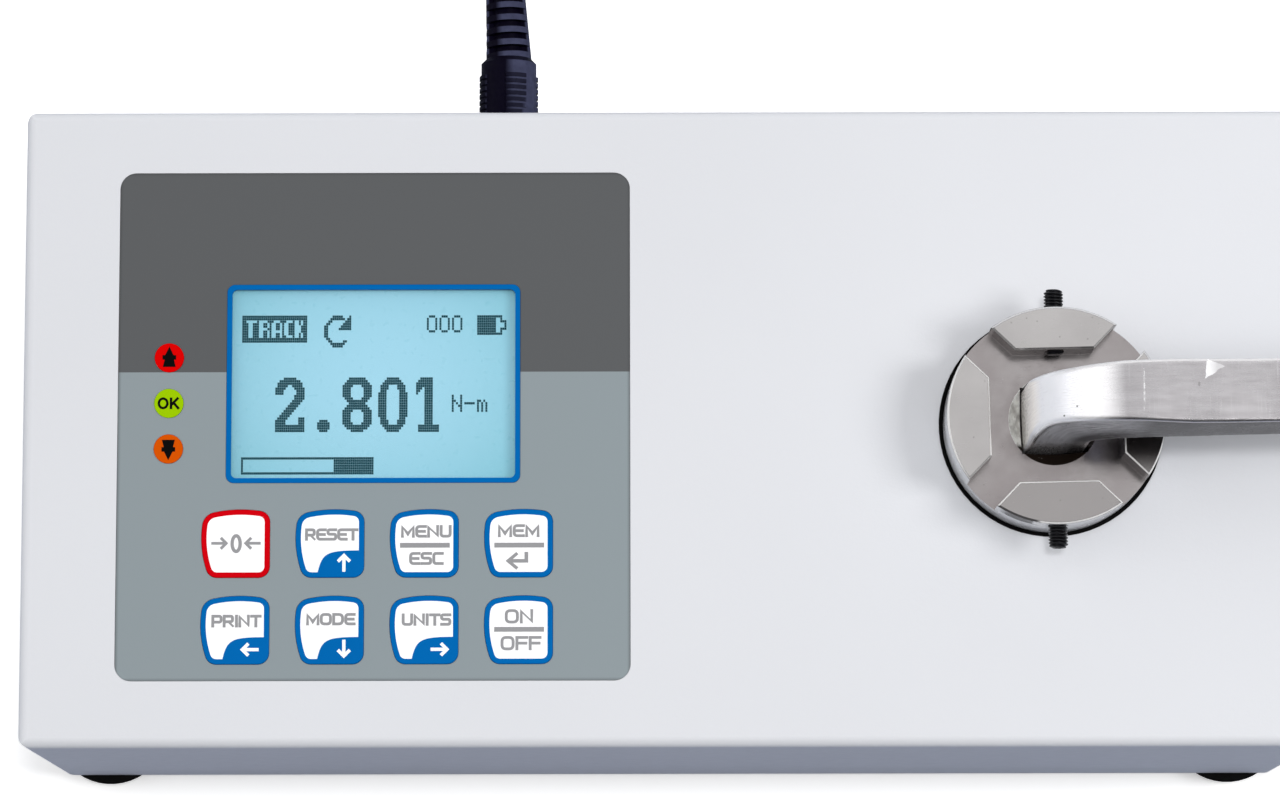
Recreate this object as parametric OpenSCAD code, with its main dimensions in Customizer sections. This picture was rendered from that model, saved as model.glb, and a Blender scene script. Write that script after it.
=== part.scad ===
/* [Housing] */
// Width of the housing, left to right
box_w = 200; // [196:1:220]
// Depth of the housing, front to back
box_d = 99; // [97:0.5:110]
// Height of the housing, from the base plate's underside to the top
box_h = 61; // [59:0.5:75]
// Thickness of the cover's sheet
cover_t = 2; // [1.8:0.1:2.2]
// Plan radius of the cover's upright corners
corner_r = 2; // [1.2:0.1:4]
// Radius of the bend round the cover's top
bend_r = 1.5; // [1:0.1:2]
// Thickness of the base plate
base_t = 2.5; // [2.4:0.1:3.5]
// Gap between the base plate and the walls round it
base_gap = 0.3; // [0.1:0.1:0.6]
// Side of the threaded blocks welded inside the long walls
block_w = 9; // [8:0.5:12]
// Height of the threaded blocks
block_h = 10; // [9:0.5:14]
// Distance of the threaded blocks from the housing's middle
block_x = 60; // [50:1:75]

/* [Feet] */
// Height of a rubber foot
foot_h = 5; // [4.5:0.5:9]
// Radius of a rubber foot at its top
foot_r = 9.5; // [9:0.5:11]
// How much narrower a foot is at the bottom, in radius
foot_taper = 0.6; // [0:0.1:1.5]
// Distance of a foot's middle from the side and front walls
foot_inset = 8; // [7:0.5:12]
// Radius of the screw recess in a foot
foot_recess_r = 5; // [4.5:0.1:6]
// Depth of the screw recess in a foot
foot_recess = 2.8; // [2.5:0.1:3.5]

/* [Fasteners] */
// Thread diameter of the base and foot screws
big_screw_d = 4; // [3.5:0.5:4.5]
// Thread diameter of the pan-head screws inside
small_screw_d = 3; // [2.5:0.5:3]
// Radial clearance of a screw in its hole
screw_gap = 0.05; // [0.02:0.01:0.1]
// Height of a pan head
pan_head_h = 2; // [1.6:0.1:2.4]
// Length of the base screws under the head
base_screw_l = 7; // [5:0.5:9]
// Length of the small screws under the head
small_screw_l = 4; // [3:0.5:4.5]

/* [Keypad panel] */
// Width of the keypad panel
panel_w = 79; // [78:0.5:84]
// Height of the keypad panel, front to back
panel_h = 79; // [78:0.5:84]
// Corner radius of the keypad panel
panel_r = 2.5; // [1:0.1:5]
// Distance of the keypad panel from the housing's left edge
panel_left = 14.75; // [13:0.25:16]
// Distance of the keypad panel from the housing's back edge
panel_back = 9.8; // [9:0.1:10.2]
// Depth of the pocket in the cover that holds the panel
pocket_depth = 0.6; // [0.5:0.05:0.7]
// Thickness of the panel film
film_t = 0.5; // [0.3:0.05:0.6]
// Side clearance round the film, window frame and indicators
film_gap = 0.05; // [0.02:0.01:0.15]

/* [Display] */
// Outer width of the blue window frame
frame_w = 45.3; // [44:0.1:48]
// Outer height of the blue window frame
frame_h = 30.9; // [30:0.1:33]
// Line width of the blue window frame
frame_line = 0.75; // [0.6:0.05:1]
// Outer corner radius of the window frame
frame_r = 1.2; // [0.9:0.1:2]
// Display middle, to the right of the panel's middle
display_x = -0.1; // [-3:0.1:3]
// Display middle, behind the panel's middle
display_y = 6.5; // [5:0.1:7.5]
// Thickness of the clear window pane
pane_t = 0.6; // [0.4:0.1:0.7]
// Width of the ledge that carries the pane
pane_ledge = 1.2; // [1:0.1:1.6]
// Thickness of the display glass
glass_t = 1.8; // [1.4:0.1:2.2]
// Thickness of the steel bezel's sides
bezel_t = 0.5; // [0.3:0.1:0.6]
// Thickness of the bezel's lip over the glass
lip_t = 0.3; // [0.2:0.1:0.4]

/* [Indicators] */
// Diameter of an indicator disc
indicator_d = 4.5; // [4:0.1:5.5]
// Distance between two indicators
indicator_pitch = 7.1; // [6.5:0.1:8]
// Indicator middle, to the right of the panel's middle
indicator_x = -31.65; // [-33:0.05:-30]
// Middle indicator, behind the panel's middle
indicator_y = 3.45; // [0:0.05:6]
// Diameter of a lamp behind an indicator
lamp_d = 3; // [2.5:0.1:3.4]
// Clearance of a lamp in the cover
lamp_gap = 0.2; // [0.1:0.05:0.4]

/* [Keys] */
// Width and height of a key
key_size = 10.4; // [9.5:0.1:11]
// Distance between key columns
key_pitch_x = 14.5; // [14:0.1:15]
// Distance between key rows
key_pitch_y = 13.35; // [13:0.05:14]
// First key column, to the right of the panel's middle
key_x0 = -21.15; // [-22:0.05:-20]
// First key row, behind the panel's middle
key_y0 = -18.35; // [-19:0.05:-18]
// Radius of the key's three small corners
key_corner = 1.65; // [1.2:0.05:1.9]
// Radius of the key's top left shoulder
key_shoulder = 2.2; // [1.9:0.1:2.8]
// Radius of the key's bowed left side
key_side_r = 15.5; // [14:0.5:20]
// Outmost point of the left side, behind the key's middle
key_side_y = 0.9; // [0.4:0.1:1.4]
// Radius of the key's bowed back side
key_back_r = 20; // [18:1:30]
// Outmost point of the back side, to the right of the key's middle
key_back_x = 0.8; // [0.4:0.1:1.2]
// How far a key stands above the film
key_proud = 0.15; // [0.05:0.05:0.4]
// Clearance round a key
key_gap = 0.12; // [0.08:0.01:0.25]
// Width of the key's flange under the cover
key_flange = 0.7; // [0.5:0.1:1.1]
// Thickness of the key's flange
flange_t = 0.8; // [0.6:0.1:1.2]
// Travel of a key
key_travel = 0.35; // [0.2:0.05:0.5]
// Room left under a pressed key
key_stop = 0.35; // [0.2:0.05:0.6]
// Radius of a key's stem
stem_r = 1.7; // [1.2:0.1:2]
// Radial clearance of the stem in its switch
stem_gap = 0.05; // [0.02:0.01:0.1]
// How deep the stem stands in its switch
stem_depth = 1.3; // [0.8:0.1:2]
// Side of a key switch
switch_w = 6; // [5.5:0.1:7]
// Height of a key switch
switch_h = 3.5; // [3:0.1:4.5]

/* [Circuit boards] */
// Thickness of every circuit board
board_t = 1.6; // [1.2:0.1:2]
// Width and height of the front board
front_board_w = 77; // [76:0.5:78]
// Distance of the front spacers from the panel's middle
spacer_at = 35.5; // [34.5:0.1:36]
// Width across the flats of a spacer
spacer_af = 5.5; // [5:0.1:6]
// Width of the main board, left to right
main_w = 70; // [60:1:72]
// Depth of the main board, front to back
main_d = 72; // [60:1:74]
// Main board middle, to the right of the housing's middle
main_x = -56; // [-58:0.5:-55]
// Height of the main board's spacers
main_gap = 8; // [6:0.5:12]
// Distance of the main board's spacers from its edges
main_inset = 5; // [4:0.5:8]
// Height of the ribbon's plugs
plug_block_h = 6; // [5:0.5:8]
// Width of a ribbon cable plug
plug_block_w = 6; // [5:0.5:8]
// Width of the processor chip
chip_w = 14; // [10:1:16]
// Thickness of the processor chip
chip_t = 1.8; // [1.2:0.2:2.4]
// Width of the converter chip
converter_w = 10; // [8:1:12]
// Length of the converter chip
converter_l = 16; // [12:1:18]
// Length of the signal cable's connector
header_l = 18; // [14:1:20]
// Width of the signal cable's connector
header_w = 7.5; // [5:0.5:8]
// Height of the signal cable's connector
header_h = 3.4; // [2.4:0.2:5]
// Radius of a board capacitor
capacitor_r = 4; // [3:0.5:4.5]
// Height of a board capacitor
capacitor_h = 11.5; // [8:0.5:13]
// Width of the charging coil
choke_w = 13; // [10:1:14]
// Height of the charging coil
choke_h = 7; // [5:0.5:9]
// Ribbon middle, to the right of the housing's middle
ribbon_x = -34; // [-38:1:-32]
// Width of the ribbon
ribbon_w = 24; // [18:1:30]
// Thickness of the ribbon
ribbon_t = 0.9; // [0.6:0.1:1.2]
// How far the ribbon bows out
ribbon_bow = 5; // [3:0.5:7]

/* [Battery] */
// Diameter of a battery cell
cell_d = 14.5; // [14:0.1:15]
// Length of a battery cell
cell_l = 50.5; // [48:0.5:52]
// Battery middle, to the right of the housing's middle
battery_x = -1; // [-2:0.5:0]
// Thickness of the battery strap
strap_t = 1.2; // [1:0.1:1.5]
// Width of the battery strap
strap_w = 16; // [12:1:24]
// Length of a strap foot
strap_foot = 9; // [8:0.5:10]

/* [Torque sensor] */
// Drive axis, to the right of the housing's middle
chuck_x = 58.7; // [57:0.1:60]
// Width and depth of the sensor's base block
block_base_w = 62; // [60:1:66]
// Height of the sensor's base block
block_base_h = 9.5; // [8:0.5:12]
// Radius of the sensor's foot flange
sensor_flange_r = 27; // [25:0.5:29]
// Thickness of the sensor's foot flange
sensor_flange_t = 8; // [6:0.5:10]
// Radius of the cross-shaped column
column_r = 11; // [10:0.5:12]
// Thickness of the cross-shaped column's arms
column_arm = 5; // [4:0.5:6]
// Width of a strain gauge
gauge_w = 5; // [4:0.5:6]
// Height of a strain gauge
gauge_h = 8; // [6:0.5:10]
// Thickness of a strain gauge
gauge_t = 0.3; // [0.1:0.1:0.5]
// Depth of the threaded holes in the sensor's base block
block_thread = 6; // [5:0.5:8]
// Radius of the sensor's hub
hub_r = 15.5; // [14.5:0.1:16]
// Thickness of the sensor's hub
hub_t = 9; // [8:0.5:12]
// Radius of the circle on which the hub screws stand
hub_screw_at = 11.5; // [11:0.1:12]
// Depth of the screw holes in the chuck's underside
chuck_hole_l = 8; // [7:0.5:9]
// How far the chuck's screws reach into it
chuck_screw_in = 6; // [5:0.5:6.5]
// Radius of the circle on which the flange screws stand
flange_screw_at = 21.5; // [20:0.5:22]

/* [Chuck] */
// Radius of the chuck
chuck_r = 16.7; // [15.5:0.1:19]
// Height of the jaw tops above the housing
chuck_rise = 11.5; // [10:0.1:14]
// Depth of the cross channel below the jaw tops
channel_depth = 5.7; // [5:0.1:7]
// Distance of the jaws' inner faces from the axis
jaw_in = 10.1; // [9.5:0.1:11]
// Width of the diagonal channels
channel_w = 5.75; // [5:0.05:6.5]
// Chamfer of the chuck's edges
edge_c = 0.3; // [0.1:0.05:0.5]
// How deep the chuck reaches below the housing's top
chuck_sunk = 6; // [5:0.5:8]
// Width of the square socket
socket_w = 10.2; // [9.9:0.05:10.4]
// Depth of the square socket below the channel floor
socket_depth = 10; // [8:0.5:10.2]
// Radius of the socket's countersink
sink_r = 6.95; // [6:0.05:8]
// Depth of the socket's countersink
sink_depth = 2; // [1:0.1:3]
// Turn of the chuck and the lever seen from above, in degrees
drive_yaw = 1.3; // [0:0.1:3]
// Outer radius of the black seal ring
ring_r = 17.3; // [17.1:0.1:17.6]
// Clearance between the seal ring and the chuck
ring_gap = 0.1; // [0.05:0.05:0.2]
// How far the seal ring stands above the housing
ring_proud = 0.4; // [0.2:0.1:1]
// Width of the seal ring's flange under the cover
ring_flange = 2; // [1:0.1:3]

/* [Grub screws] */
// Thread diameter of a grub screw
grub_d = 3; // [2.5:0.5:4]
// Length of a grub screw
grub_l = 10; // [8:1:12]
// Radial clearance of a grub screw in its jaw
grub_gap = 0.04; // [0.02:0.01:0.1]
// Distance of the back grub screw's inner end from the axis
grub_back_in = 9.65; // [9:0.05:10.1]
// Distance of the front grub screw's inner end from the axis
grub_front_in = 10.05; // [9:0.05:10.1]
// Turn of the grub screws' line against the jaws, in degrees
grub_turn = -0.9; // [-1.5:0.1:1.5]
// Width across the flats of the grub screw's socket
grub_hex = 1.5; // [1.3:0.1:2]

/* [Lever] */
// Width of the square lever bar
bar_w = 9.5; // [9:0.05:9.8]
// Reach of the lever from the drive axis
lever_reach = 160; // [90:1:180]
// Height of the lever's top above the housing
lever_top = 31; // [29:0.5:40]
// Outer radius of the lever's bend
lever_bend = 16; // [14:0.5:18]
// Rounding of the bar's edges
bar_edge = 0.9; // [0.3:0.1:1.5]
// How much the bar swells on the inside of its bend
lever_swell = 0.5; // [0:0.1:0.8]
// How far the leg stands to the left in its socket
leg_shift = 0.05; // [0:0.05:0.15]

/* [Rear sockets] */
// Depth of the sockets from the back wall to their board
port_depth = 14; // [13:0.5:18]
// Height of the sockets' middle below the housing's top
port_drop = 30; // [26:0.5:34]
// Power socket, to the right of the housing's middle
power_x = -25.8; // [-27:0.1:-25]
// Data socket, to the right of the housing's middle
data_x = -5; // [-6:0.5:2]
// Width of the sockets' board
port_board_w = 52; // [50:1:56]
// Height of the sockets' board
port_board_h = 22; // [20:1:26]
// Bore radius of the power socket
jack_r = 2.85; // [2.8:0.01:2.9]
// Width of the power socket's case
jack_case_w = 9; // [8:0.5:10]
// Height of the power socket's case
jack_case_h = 11; // [10:0.5:12]
// Outer radius of the power socket's collar
collar_r = 4.2; // [4:0.05:4.3]
// Width of the data socket
data_w = 7.7; // [7.4:0.1:8.2]
// Height of the data socket
data_h = 4; // [3.8:0.1:4.4]
// Wall of the data socket's shell
data_wall = 0.35; // [0.3:0.05:0.5]
// Thickness of the data socket's tongue
tongue_t = 1.1; // [0.8:0.1:1.4]
// Length of the data socket's tongue
tongue_l = 8; // [6:0.5:9]

/* [Power plug and cord] */
// Radius of the plug's metal barrel
barrel_r = 2.75; // [2.7:0.01:2.8]
// Length of the plug's metal barrel
barrel_l = 9.5; // [9:0.1:10]
// Radius of the plug's grip
grip_r = 4.45; // [4.3:0.05:5]
// Length of the plug's grip
grip_l = 14.5; // [14:0.5:15]
// How far the grip's ribs stand out
rib_proud = 0.3; // [0.1:0.05:0.5]
// Distance between two ribs
rib_pitch = 1; // [0.9:0.05:1.1]
// Radius of the strain relief at the plug
relief_r0 = 3.7; // [3.4:0.1:4]
// Radius of the strain relief at the cord
relief_r1 = 2.85; // [2.5:0.05:3]
// Length of the strain relief
relief_l = 18; // [17.5:0.5:20]
// Lean of the strain relief to the left, in degrees
relief_lean = 3; // [0:0.5:4]
// Distance between two slots of the strain relief
slot_pitch = 2.06; // [1.9:0.02:2.2]
// Width of a slot of the strain relief
slot_w = 1.1; // [0.8:0.1:1.2]
// Diameter of the cord
cord_d = 4; // [3.6:0.1:4.4]
// Radius of the coil at the middle of its turns
coil_mean_r = 24; // [22:0.5:24]
// Turns that lie beside each other in the coil
coil_columns = 4; // [2:1:4]
// Turns that lie on each other in the coil
coil_rows = 2; // [1:1:2]
// Thickness of the tie round the coil
tie_t = 0.8; // [0.6:0.1:1]
// Width of the tie round the coil
tie_w = 5; // [4:0.5:8]
// Gap between the tie and the coil's sides
tie_gap = 0.1; // [0.05:0.05:0.3]

// Radius of the sensor's cable
wire_r = 1.5; // [1.2:0.1:2]
// Distance of the strain gauges' plug from the main board's middle
wire_plug_out = 22; // [20:0.5:22.5]

/* [Plug-in power supply] */
// Length of the supply's case
supply_l = 62; // [55:1:70]
// Width of the supply's case
supply_w = 40; // [36:1:46]
// Height of the supply's case
supply_h = 28; // [24:1:34]
// Corner radius of the supply's case
supply_r = 5; // [3:0.5:8]
// Radius of a contact pin
pin_r = 2; // [1.9:0.05:2.4]
// Radius of the shank that holds a contact pin in the case
pin_shank_r = 1.3; // [1:0.1:1.5]
// Height of a contact pin's shoulder above the case
pin_neck = 0.4; // [0.2:0.1:1]
// Length of a contact pin
pin_l = 19; // [18:0.5:20]
// Distance between the contact pins
pin_pitch = 19; // [18:0.5:20]
// How deep the contact pins are set in the case
pin_set = 6; // [4:0.5:8]
// Contact pins' middle, to the right of the case's middle
pin_x = 7; // [0:1:12]
// Length of the case's strain relief
supply_relief_l = 14; // [12:0.5:16]

/* [Hidden] */
$fn = 64;

// Heights, counted from the surface that the feet stand on
plate_top = foot_h + base_t;
top_z = foot_h + box_h;
under_z = top_z - cover_t;
floor_z = top_z - pocket_depth;
film_top = floor_z + film_t;
front_gap = flange_t + key_travel + key_stop + switch_h;
front_board_z = under_z - front_gap;
pane_z = floor_z - pane_t;
bezel_top = pane_z - lip_t / 3;
glass_top = bezel_top - lip_t;
main_z = plate_top + main_gap;
port_z = top_z - port_drop;

// The drive, from the base block up to the jaws
base_block_z = plate_top + block_base_h;
sensor_top = top_z - chuck_sunk;
jaw_top = top_z + chuck_rise;
channel_z = jaw_top - channel_depth;
socket_z = channel_z - socket_depth;
grub_z = jaw_top - channel_depth / 2;

// The housing's middle lies to the left of the drive axis
box_x = -chuck_x;
panel_x = panel_left + panel_w / 2 - box_w / 2;
panel_y = box_d / 2 - panel_back - panel_h / 2;
foot_x = box_w / 2 - foot_inset;
foot_y = box_d / 2 - foot_inset;
wall_y = box_d / 2 - cover_t;
block_y = wall_y - block_w / 2;
port_y = box_d / 2 - port_depth;

// Bezel and glass lie wholly behind the window frame
opening_w = frame_w - 2 * frame_line;
opening_h = frame_h - 2 * frame_line;
bezel_lip = 0.4;
glass_w = opening_w + 3 * bezel_lip;
glass_h = opening_h + 3 * bezel_lip;
module_gap = 0.1;
bezel_w = glass_w + 2 * module_gap + 2 * bezel_t;
bezel_h = glass_h + 2 * module_gap + 2 * bezel_t;
hole_gap = 0.3;

// The coil, and the place on its far side where both stretches join it
coil_at = [-38, 120];
coil_half = coil_columns * cord_d / 2;
coil_h = coil_rows * cord_d;
join_y = coil_at[1] + coil_mean_r + coil_half - cord_d / 2;
cord_join = [coil_at[0], join_y, tie_t + cord_d / 2];
supply_join = [coil_at[0], join_y, tie_t + coil_h - cord_d / 2];
supply_at = [41, 139];

// Routes of the cord's two free stretches, chosen by hand from both ends
relief_end = [box_x + power_x - relief_l * sin(relief_lean),
              box_d / 2 + grip_l + relief_l * cos(relief_lean), port_z];
case_end = [supply_at[0] - supply_l / 2 - supply_relief_l, supply_at[1], supply_h / 2];
cord_route = concat(
    [for (p = [[0, 0, 0], [-0.3, 6, -0.1], [-0.4, 12, -0.8], [0, 18, -2.8],
               [1.2, 24, -6.2], [3, 31, -11.4]]) relief_end + p],
    [for (p = [[-41, -27, 15.6], [-37, -20, 9.8], [-31.5, -13, 5.2], [-24.5, -7, 2.3],
               [-16.5, -2.6, 0.7], [-8, -0.4, 0.1], [0, 0, 0]]) cord_join + p]);
supply_route = concat(
    [for (p = [[0, 0, 0], [5, -0.3, 0.2], [10.5, -1.8, 0.8]]) supply_join + p],
    [for (p = [[-17, 5.5, -1.6], [-10.5, 1.8, -0.8], [-5, 0.3, -0.2], [0, 0, 0]]) case_end + p]);

// Cable from the strain gauges over the battery to the main board
wire_plug = [main_x + wire_plug_out, -24];
wire_route = [
    [-column_r, 0, 38], [-column_r - 6, -1, 39.5], [-30, -4, 41], [-42, -8, 42], [-54, -13, 42],
    [-66, -18, 42], [-76, -21, 40], [-84, -23, 36], [-90, -24, 31],
    [box_x + wire_plug[0], wire_plug[1], main_z + board_t + plug_block_h]];

// Points on an arc round c, from angle a0 to a1 in n steps
function arc(c, r, a0, a1, n) =
    [for (i = [0:n]) [c[0] + r * cos(a0 + (a1 - a0) * i / n),
                      c[1] + r * sin(a0 + (a1 - a0) * i / n)]];

// Middle of a corner arc of radius r that touches two wide arcs from inside
function corner_at(c1, r1, c2, r2, r) =
    let (d = norm(c2 - c1),
         e = (c2 - c1) / d,
         a = ((r1 - r) * (r1 - r) - (r2 - r) * (r2 - r) + d * d) / (2 * d))
    c1 + a * e + sqrt((r1 - r) * (r1 - r) - a * a) * [-e[1], e[0]];

// Outline of a key, grown evenly by g: straight front and right sides, bowed
// left and back sides and four round corners
function key_points(g) =
    let (h = key_size / 2,
         low = h - key_corner,
         side = [key_side_r - h, key_side_y],
         back = [key_back_x, h - key_back_r],
         side_in = key_side_r - key_corner,
         back_in = key_back_r - key_corner,
         right_c = [low, back[1] + sqrt(back_in * back_in - (low - back[0]) * (low - back[0]))],
         left_c = [side[0] - sqrt(side_in * side_in - (low + side[1]) * (low + side[1])), -low],
         top_c = corner_at(back, key_back_r, side, key_side_r, key_shoulder),
         a1 = atan2(right_c[1] - back[1], right_c[0] - back[0]),
         a2 = atan2(top_c[1] - back[1], top_c[0] - back[0]),
         a3 = atan2(top_c[1] - side[1], top_c[0] - side[0]),
         a4 = 360 + atan2(left_c[1] - side[1], left_c[0] - side[0]))
    concat(
        arc([low, -low], key_corner + g, -90, 0, 6),
        arc(right_c, key_corner + g, 0, a1, 6),
        arc(back, key_back_r + g, a1, a2, 6),
        arc(top_c, key_shoulder + g, a2, a3, 6),
        arc(side, key_side_r + g, a3, a4, 6),
        arc(left_c, key_corner + g, a4, 270, 6));

function key_at(i) = [key_x0 + key_pitch_x * (i % 4), key_y0 - key_pitch_y * floor(i / 4)];

module rounded_rect(w, h, r) {
    square([w - 2 * r, h], center = true);
    square([w, h - 2 * r], center = true);
    for (sx = [-1, 1], sy = [-1, 1])
        translate([sx * (w / 2 - r), sy * (h / 2 - r)])
            circle(r);
}

// A block of size s, centred in plan, standing on height z
module block(s, z = 0) {
    translate([-s[0] / 2, -s[1] / 2, z])
        cube(s);
}

module at_box() {
    translate([box_x, 0, 0])
        children();
}

module at_panel() {
    at_box()
        translate([panel_x, panel_y, 0])
            children();
}

module at_display() {
    at_panel()
        translate([display_x, display_y, 0])
            children();
}

module at_drive() {
    rotate(drive_yaw)
        children();
}

module at_indicator(i) {
    at_panel()
        translate([indicator_x, indicator_y + indicator_pitch * (1 - i), 0])
            children();
}

module at_key(i) {
    at_panel()
        translate(key_at(i))
            children();
}

// Four places at a turn of 45 degrees on a circle of radius r
module on_diagonals(r) {
    for (a = [45:90:315])
        rotate(a)
            translate([r, 0, 0])
                children();
}

// Pan-head screw: its head stands on z = 0 and its shank hangs below
module pan_screw(d, l) {
    translate([0, 0, -l])
        cylinder(r = d / 2, h = l);
    difference() {
        cylinder(r = d * 0.95, h = pan_head_h);
        translate([0, 0, pan_head_h - 0.9])
            block([d * 1.1, d * 0.22, 1]);
    }
}

// Countersunk screw from below: flush at z = 0, its shank points up
module sunk_screw(d, l) {
    cylinder(r1 = d * 0.94, r2 = d / 2, h = d * 0.5);
    translate([0, 0, d * 0.5])
        cylinder(r = d / 2, h = l);
}

module sunk_hole(d, depth) {
    cylinder(r1 = d * 0.94 + screw_gap, r2 = d / 2 + screw_gap, h = d * 0.5);
    cylinder(r = d / 2 + screw_gap, h = depth);
}

// Cover
module bent_profile(w) {
    translate([-w / 2, foot_h])
        square([w, box_h - bend_r]);
    translate([bend_r - w / 2, foot_h])
        square([w - 2 * bend_r, box_h]);
    for (s = [-1, 1])
        translate([s * (w / 2 - bend_r), top_z - bend_r])
            circle(bend_r);
}

module cover_shell() {
    intersection() {
        translate([0, 0, foot_h])
            linear_extrude(box_h)
                rounded_rect(box_w, box_d, corner_r);
        rotate([90, 0, 90])
            linear_extrude(box_w + 2, center = true)
                bent_profile(box_d);
        rotate([90, 0, 0])
            linear_extrude(box_d + 2, center = true)
                bent_profile(box_w);
    }
}

module top_cover() {
    color("#e4e6ea") {
        difference() {
            at_box()
                cover_shell();
            at_box()
                block([box_w - 2 * cover_t, box_d - 2 * cover_t, box_h - cover_t + 1], foot_h - 1);
            panel_cutouts();
            translate([0, 0, under_z - 1])
                cylinder(r = ring_r + film_gap, h = cover_t + 2);
            rear_cutouts();
        }
        cover_blocks();
        port_bosses();
    }
}

module panel_cutouts() {
    at_panel()
        translate([0, 0, floor_z])
            linear_extrude(pocket_depth + 1)
                rounded_rect(panel_w + 2 * film_gap, panel_h + 2 * film_gap, panel_r + film_gap);
    at_display() {
        block([bezel_w + 2 * hole_gap + 2 * pane_ledge, bezel_h + 2 * hole_gap + 2 * pane_ledge,
               pane_t + 0.5], pane_z);
        block([bezel_w + 2 * hole_gap, bezel_h + 2 * hole_gap, cover_t + 1], under_z - 0.5);
    }
    for (i = [0:2])
        at_indicator(i)
            translate([0, 0, under_z - 1])
                cylinder(r = lamp_d / 2 + lamp_gap, h = cover_t + 1);
    for (i = [0:7])
        at_key(i)
            translate([0, 0, under_z - 1])
                linear_extrude(cover_t + 1)
                    polygon(key_points(key_gap));
}

module rear_cutouts() {
    at_box() {
        translate([power_x, wall_y - 1, port_z])
            rotate([-90, 0, 0])
                cylinder(r = collar_r + film_gap, h = cover_t + 2);
        translate([data_x - data_w / 2 - hole_gap, wall_y - 1, port_z - data_h / 2 - hole_gap])
            cube([data_w + 2 * hole_gap, cover_t + 2, data_h + 2 * hole_gap]);
    }
}

// Threaded blocks that take the base screws
module cover_blocks() {
    at_box()
        for (sx = [-1, 1], sy = [-1, 1])
            translate([sx * block_x, sy * block_y, 0])
                difference() {
                    block([block_w, block_w, block_h], plate_top);
                    translate([0, 0, plate_top - 1])
                        cylinder(r = big_screw_d / 2 + screw_gap, h = block_h);
                }
}

// Bosses that carry the sockets' board
boss_r = 3;
boss_x = port_board_w / 2 - boss_r - 0.5;
port_mid = (power_x + data_x) / 2 + 0.4;
module at_bosses() {
    at_box()
        for (s = [-1, 1])
            translate([port_mid + s * boss_x, port_y, port_z])
                rotate([-90, 0, 0])
                    children();
}

module port_bosses() {
    at_bosses()
        difference() {
            cylinder(r = boss_r, h = port_depth - cover_t);
            translate([0, 0, -1])
                cylinder(r = small_screw_d / 2 + screw_gap, h = small_screw_l + 1);
        }
}

// Base and feet
module at_feet() {
    at_box()
        for (sx = [-1, 1], sy = [-1, 1])
            translate([sx * foot_x, sy * foot_y, 0])
                children();
}

module at_base_screws() {
    at_box()
        for (sx = [-1, 1], sy = [-1, 1])
            translate([sx * block_x, sy * block_y, foot_h])
                children();
    base_at = block_base_w / 2 - 6;
    for (sx = [-1, 1], sy = [-1, 1])
        translate([sx * base_at, sy * base_at, foot_h])
            children();
}

module base_plate() {
    color("#9a9da2")
        difference() {
            at_box()
                translate([0, 0, foot_h])
                    linear_extrude(base_t)
                        square([box_w - 2 * (cover_t + base_gap), box_d - 2 * (cover_t + base_gap)],
                               center = true);
            at_feet()
                translate([0, 0, foot_h - 1])
                    cylinder(r = big_screw_d / 2 + screw_gap, h = base_t + 2);
            at_base_screws()
                sunk_hole(big_screw_d, base_t + 1);
            at_main_corners()
                translate([0, 0, foot_h])
                    sunk_hole(small_screw_d, base_t + 1);
            at_strap_feet()
                translate([0, 0, foot_h + 0.5])
                    cylinder(r = small_screw_d / 2 + screw_gap, h = base_t);
        }
}

module base_screws() {
    color("#b8babd")
        at_base_screws()
            sunk_screw(big_screw_d, base_screw_l);
}

module spacer_screws() {
    color("#b8babd")
        at_main_corners()
            translate([0, 0, foot_h])
                sunk_screw(small_screw_d, small_screw_l);
}

module rubber_feet() {
    color("#17181a")
        at_feet()
            rotate_extrude()
                polygon([
                    [big_screw_d / 2 + screw_gap, foot_recess], [foot_recess_r, foot_recess],
                    [foot_recess_r, 0], [foot_r - foot_taper - 0.5, 0],
                    [foot_r - foot_taper, 0.5], [foot_r, foot_h - 0.4],
                    [foot_r - 0.4, foot_h], [big_screw_d / 2 + screw_gap, foot_h]]);
}

module foot_screws() {
    color("#b8babd")
        at_feet()
            translate([0, 0, foot_recess])
                mirror([0, 0, 1])
                    pan_screw(big_screw_d, foot_h - foot_recess + base_t + 1);
}

// Keypad panel
module keypad_overlay() {
    color("#8f979b")
        difference() {
            at_panel()
                translate([0, 0, floor_z])
                    linear_extrude(film_t)
                        rounded_rect(panel_w, panel_h, panel_r);
            at_display()
                translate([0, 0, floor_z - 1])
                    linear_extrude(film_t + 2)
                        rounded_rect(frame_w + 2 * film_gap, frame_h + 2 * film_gap,
                                     frame_r + film_gap);
            for (i = [0:2])
                at_indicator(i)
                    translate([0, 0, floor_z - 1])
                        cylinder(r = indicator_d / 2 + film_gap, h = film_t + 2);
            for (i = [0:7])
                at_key(i)
                    translate([0, 0, floor_z - 1])
                        linear_extrude(film_t + 2)
                            polygon(key_points(key_gap));
        }
}

module window_frame() {
    color("#0062b2")
        at_display()
            translate([0, 0, floor_z])
                linear_extrude(film_t + 0.1)
                    difference() {
                        rounded_rect(frame_w, frame_h, frame_r);
                        rounded_rect(opening_w, opening_h, frame_r - frame_line / 2);
                    }
}

module display_window() {
    color("#dff0f6", 0.4)
        at_display()
            block([bezel_w + 2 * pane_ledge, bezel_h + 2 * pane_ledge, pane_t], pane_z);
}

module lcd_glass() {
    color("#96d0e4")
        at_display()
            block([glass_w, glass_h, glass_t], glass_top - glass_t);
}

module lcd_bezel() {
    color("#2a2c2e")
        at_display()
            difference() {
                block([bezel_w, bezel_h, bezel_top - front_board_z], front_board_z);
                block([bezel_w - 2 * bezel_t, bezel_h - 2 * bezel_t, glass_top - front_board_z + 1],
                      front_board_z - 1);
                block([glass_w - 2 * bezel_lip, glass_h - 2 * bezel_lip, 2 * lip_t + 1],
                      glass_top - 0.5);
            }
}

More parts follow.
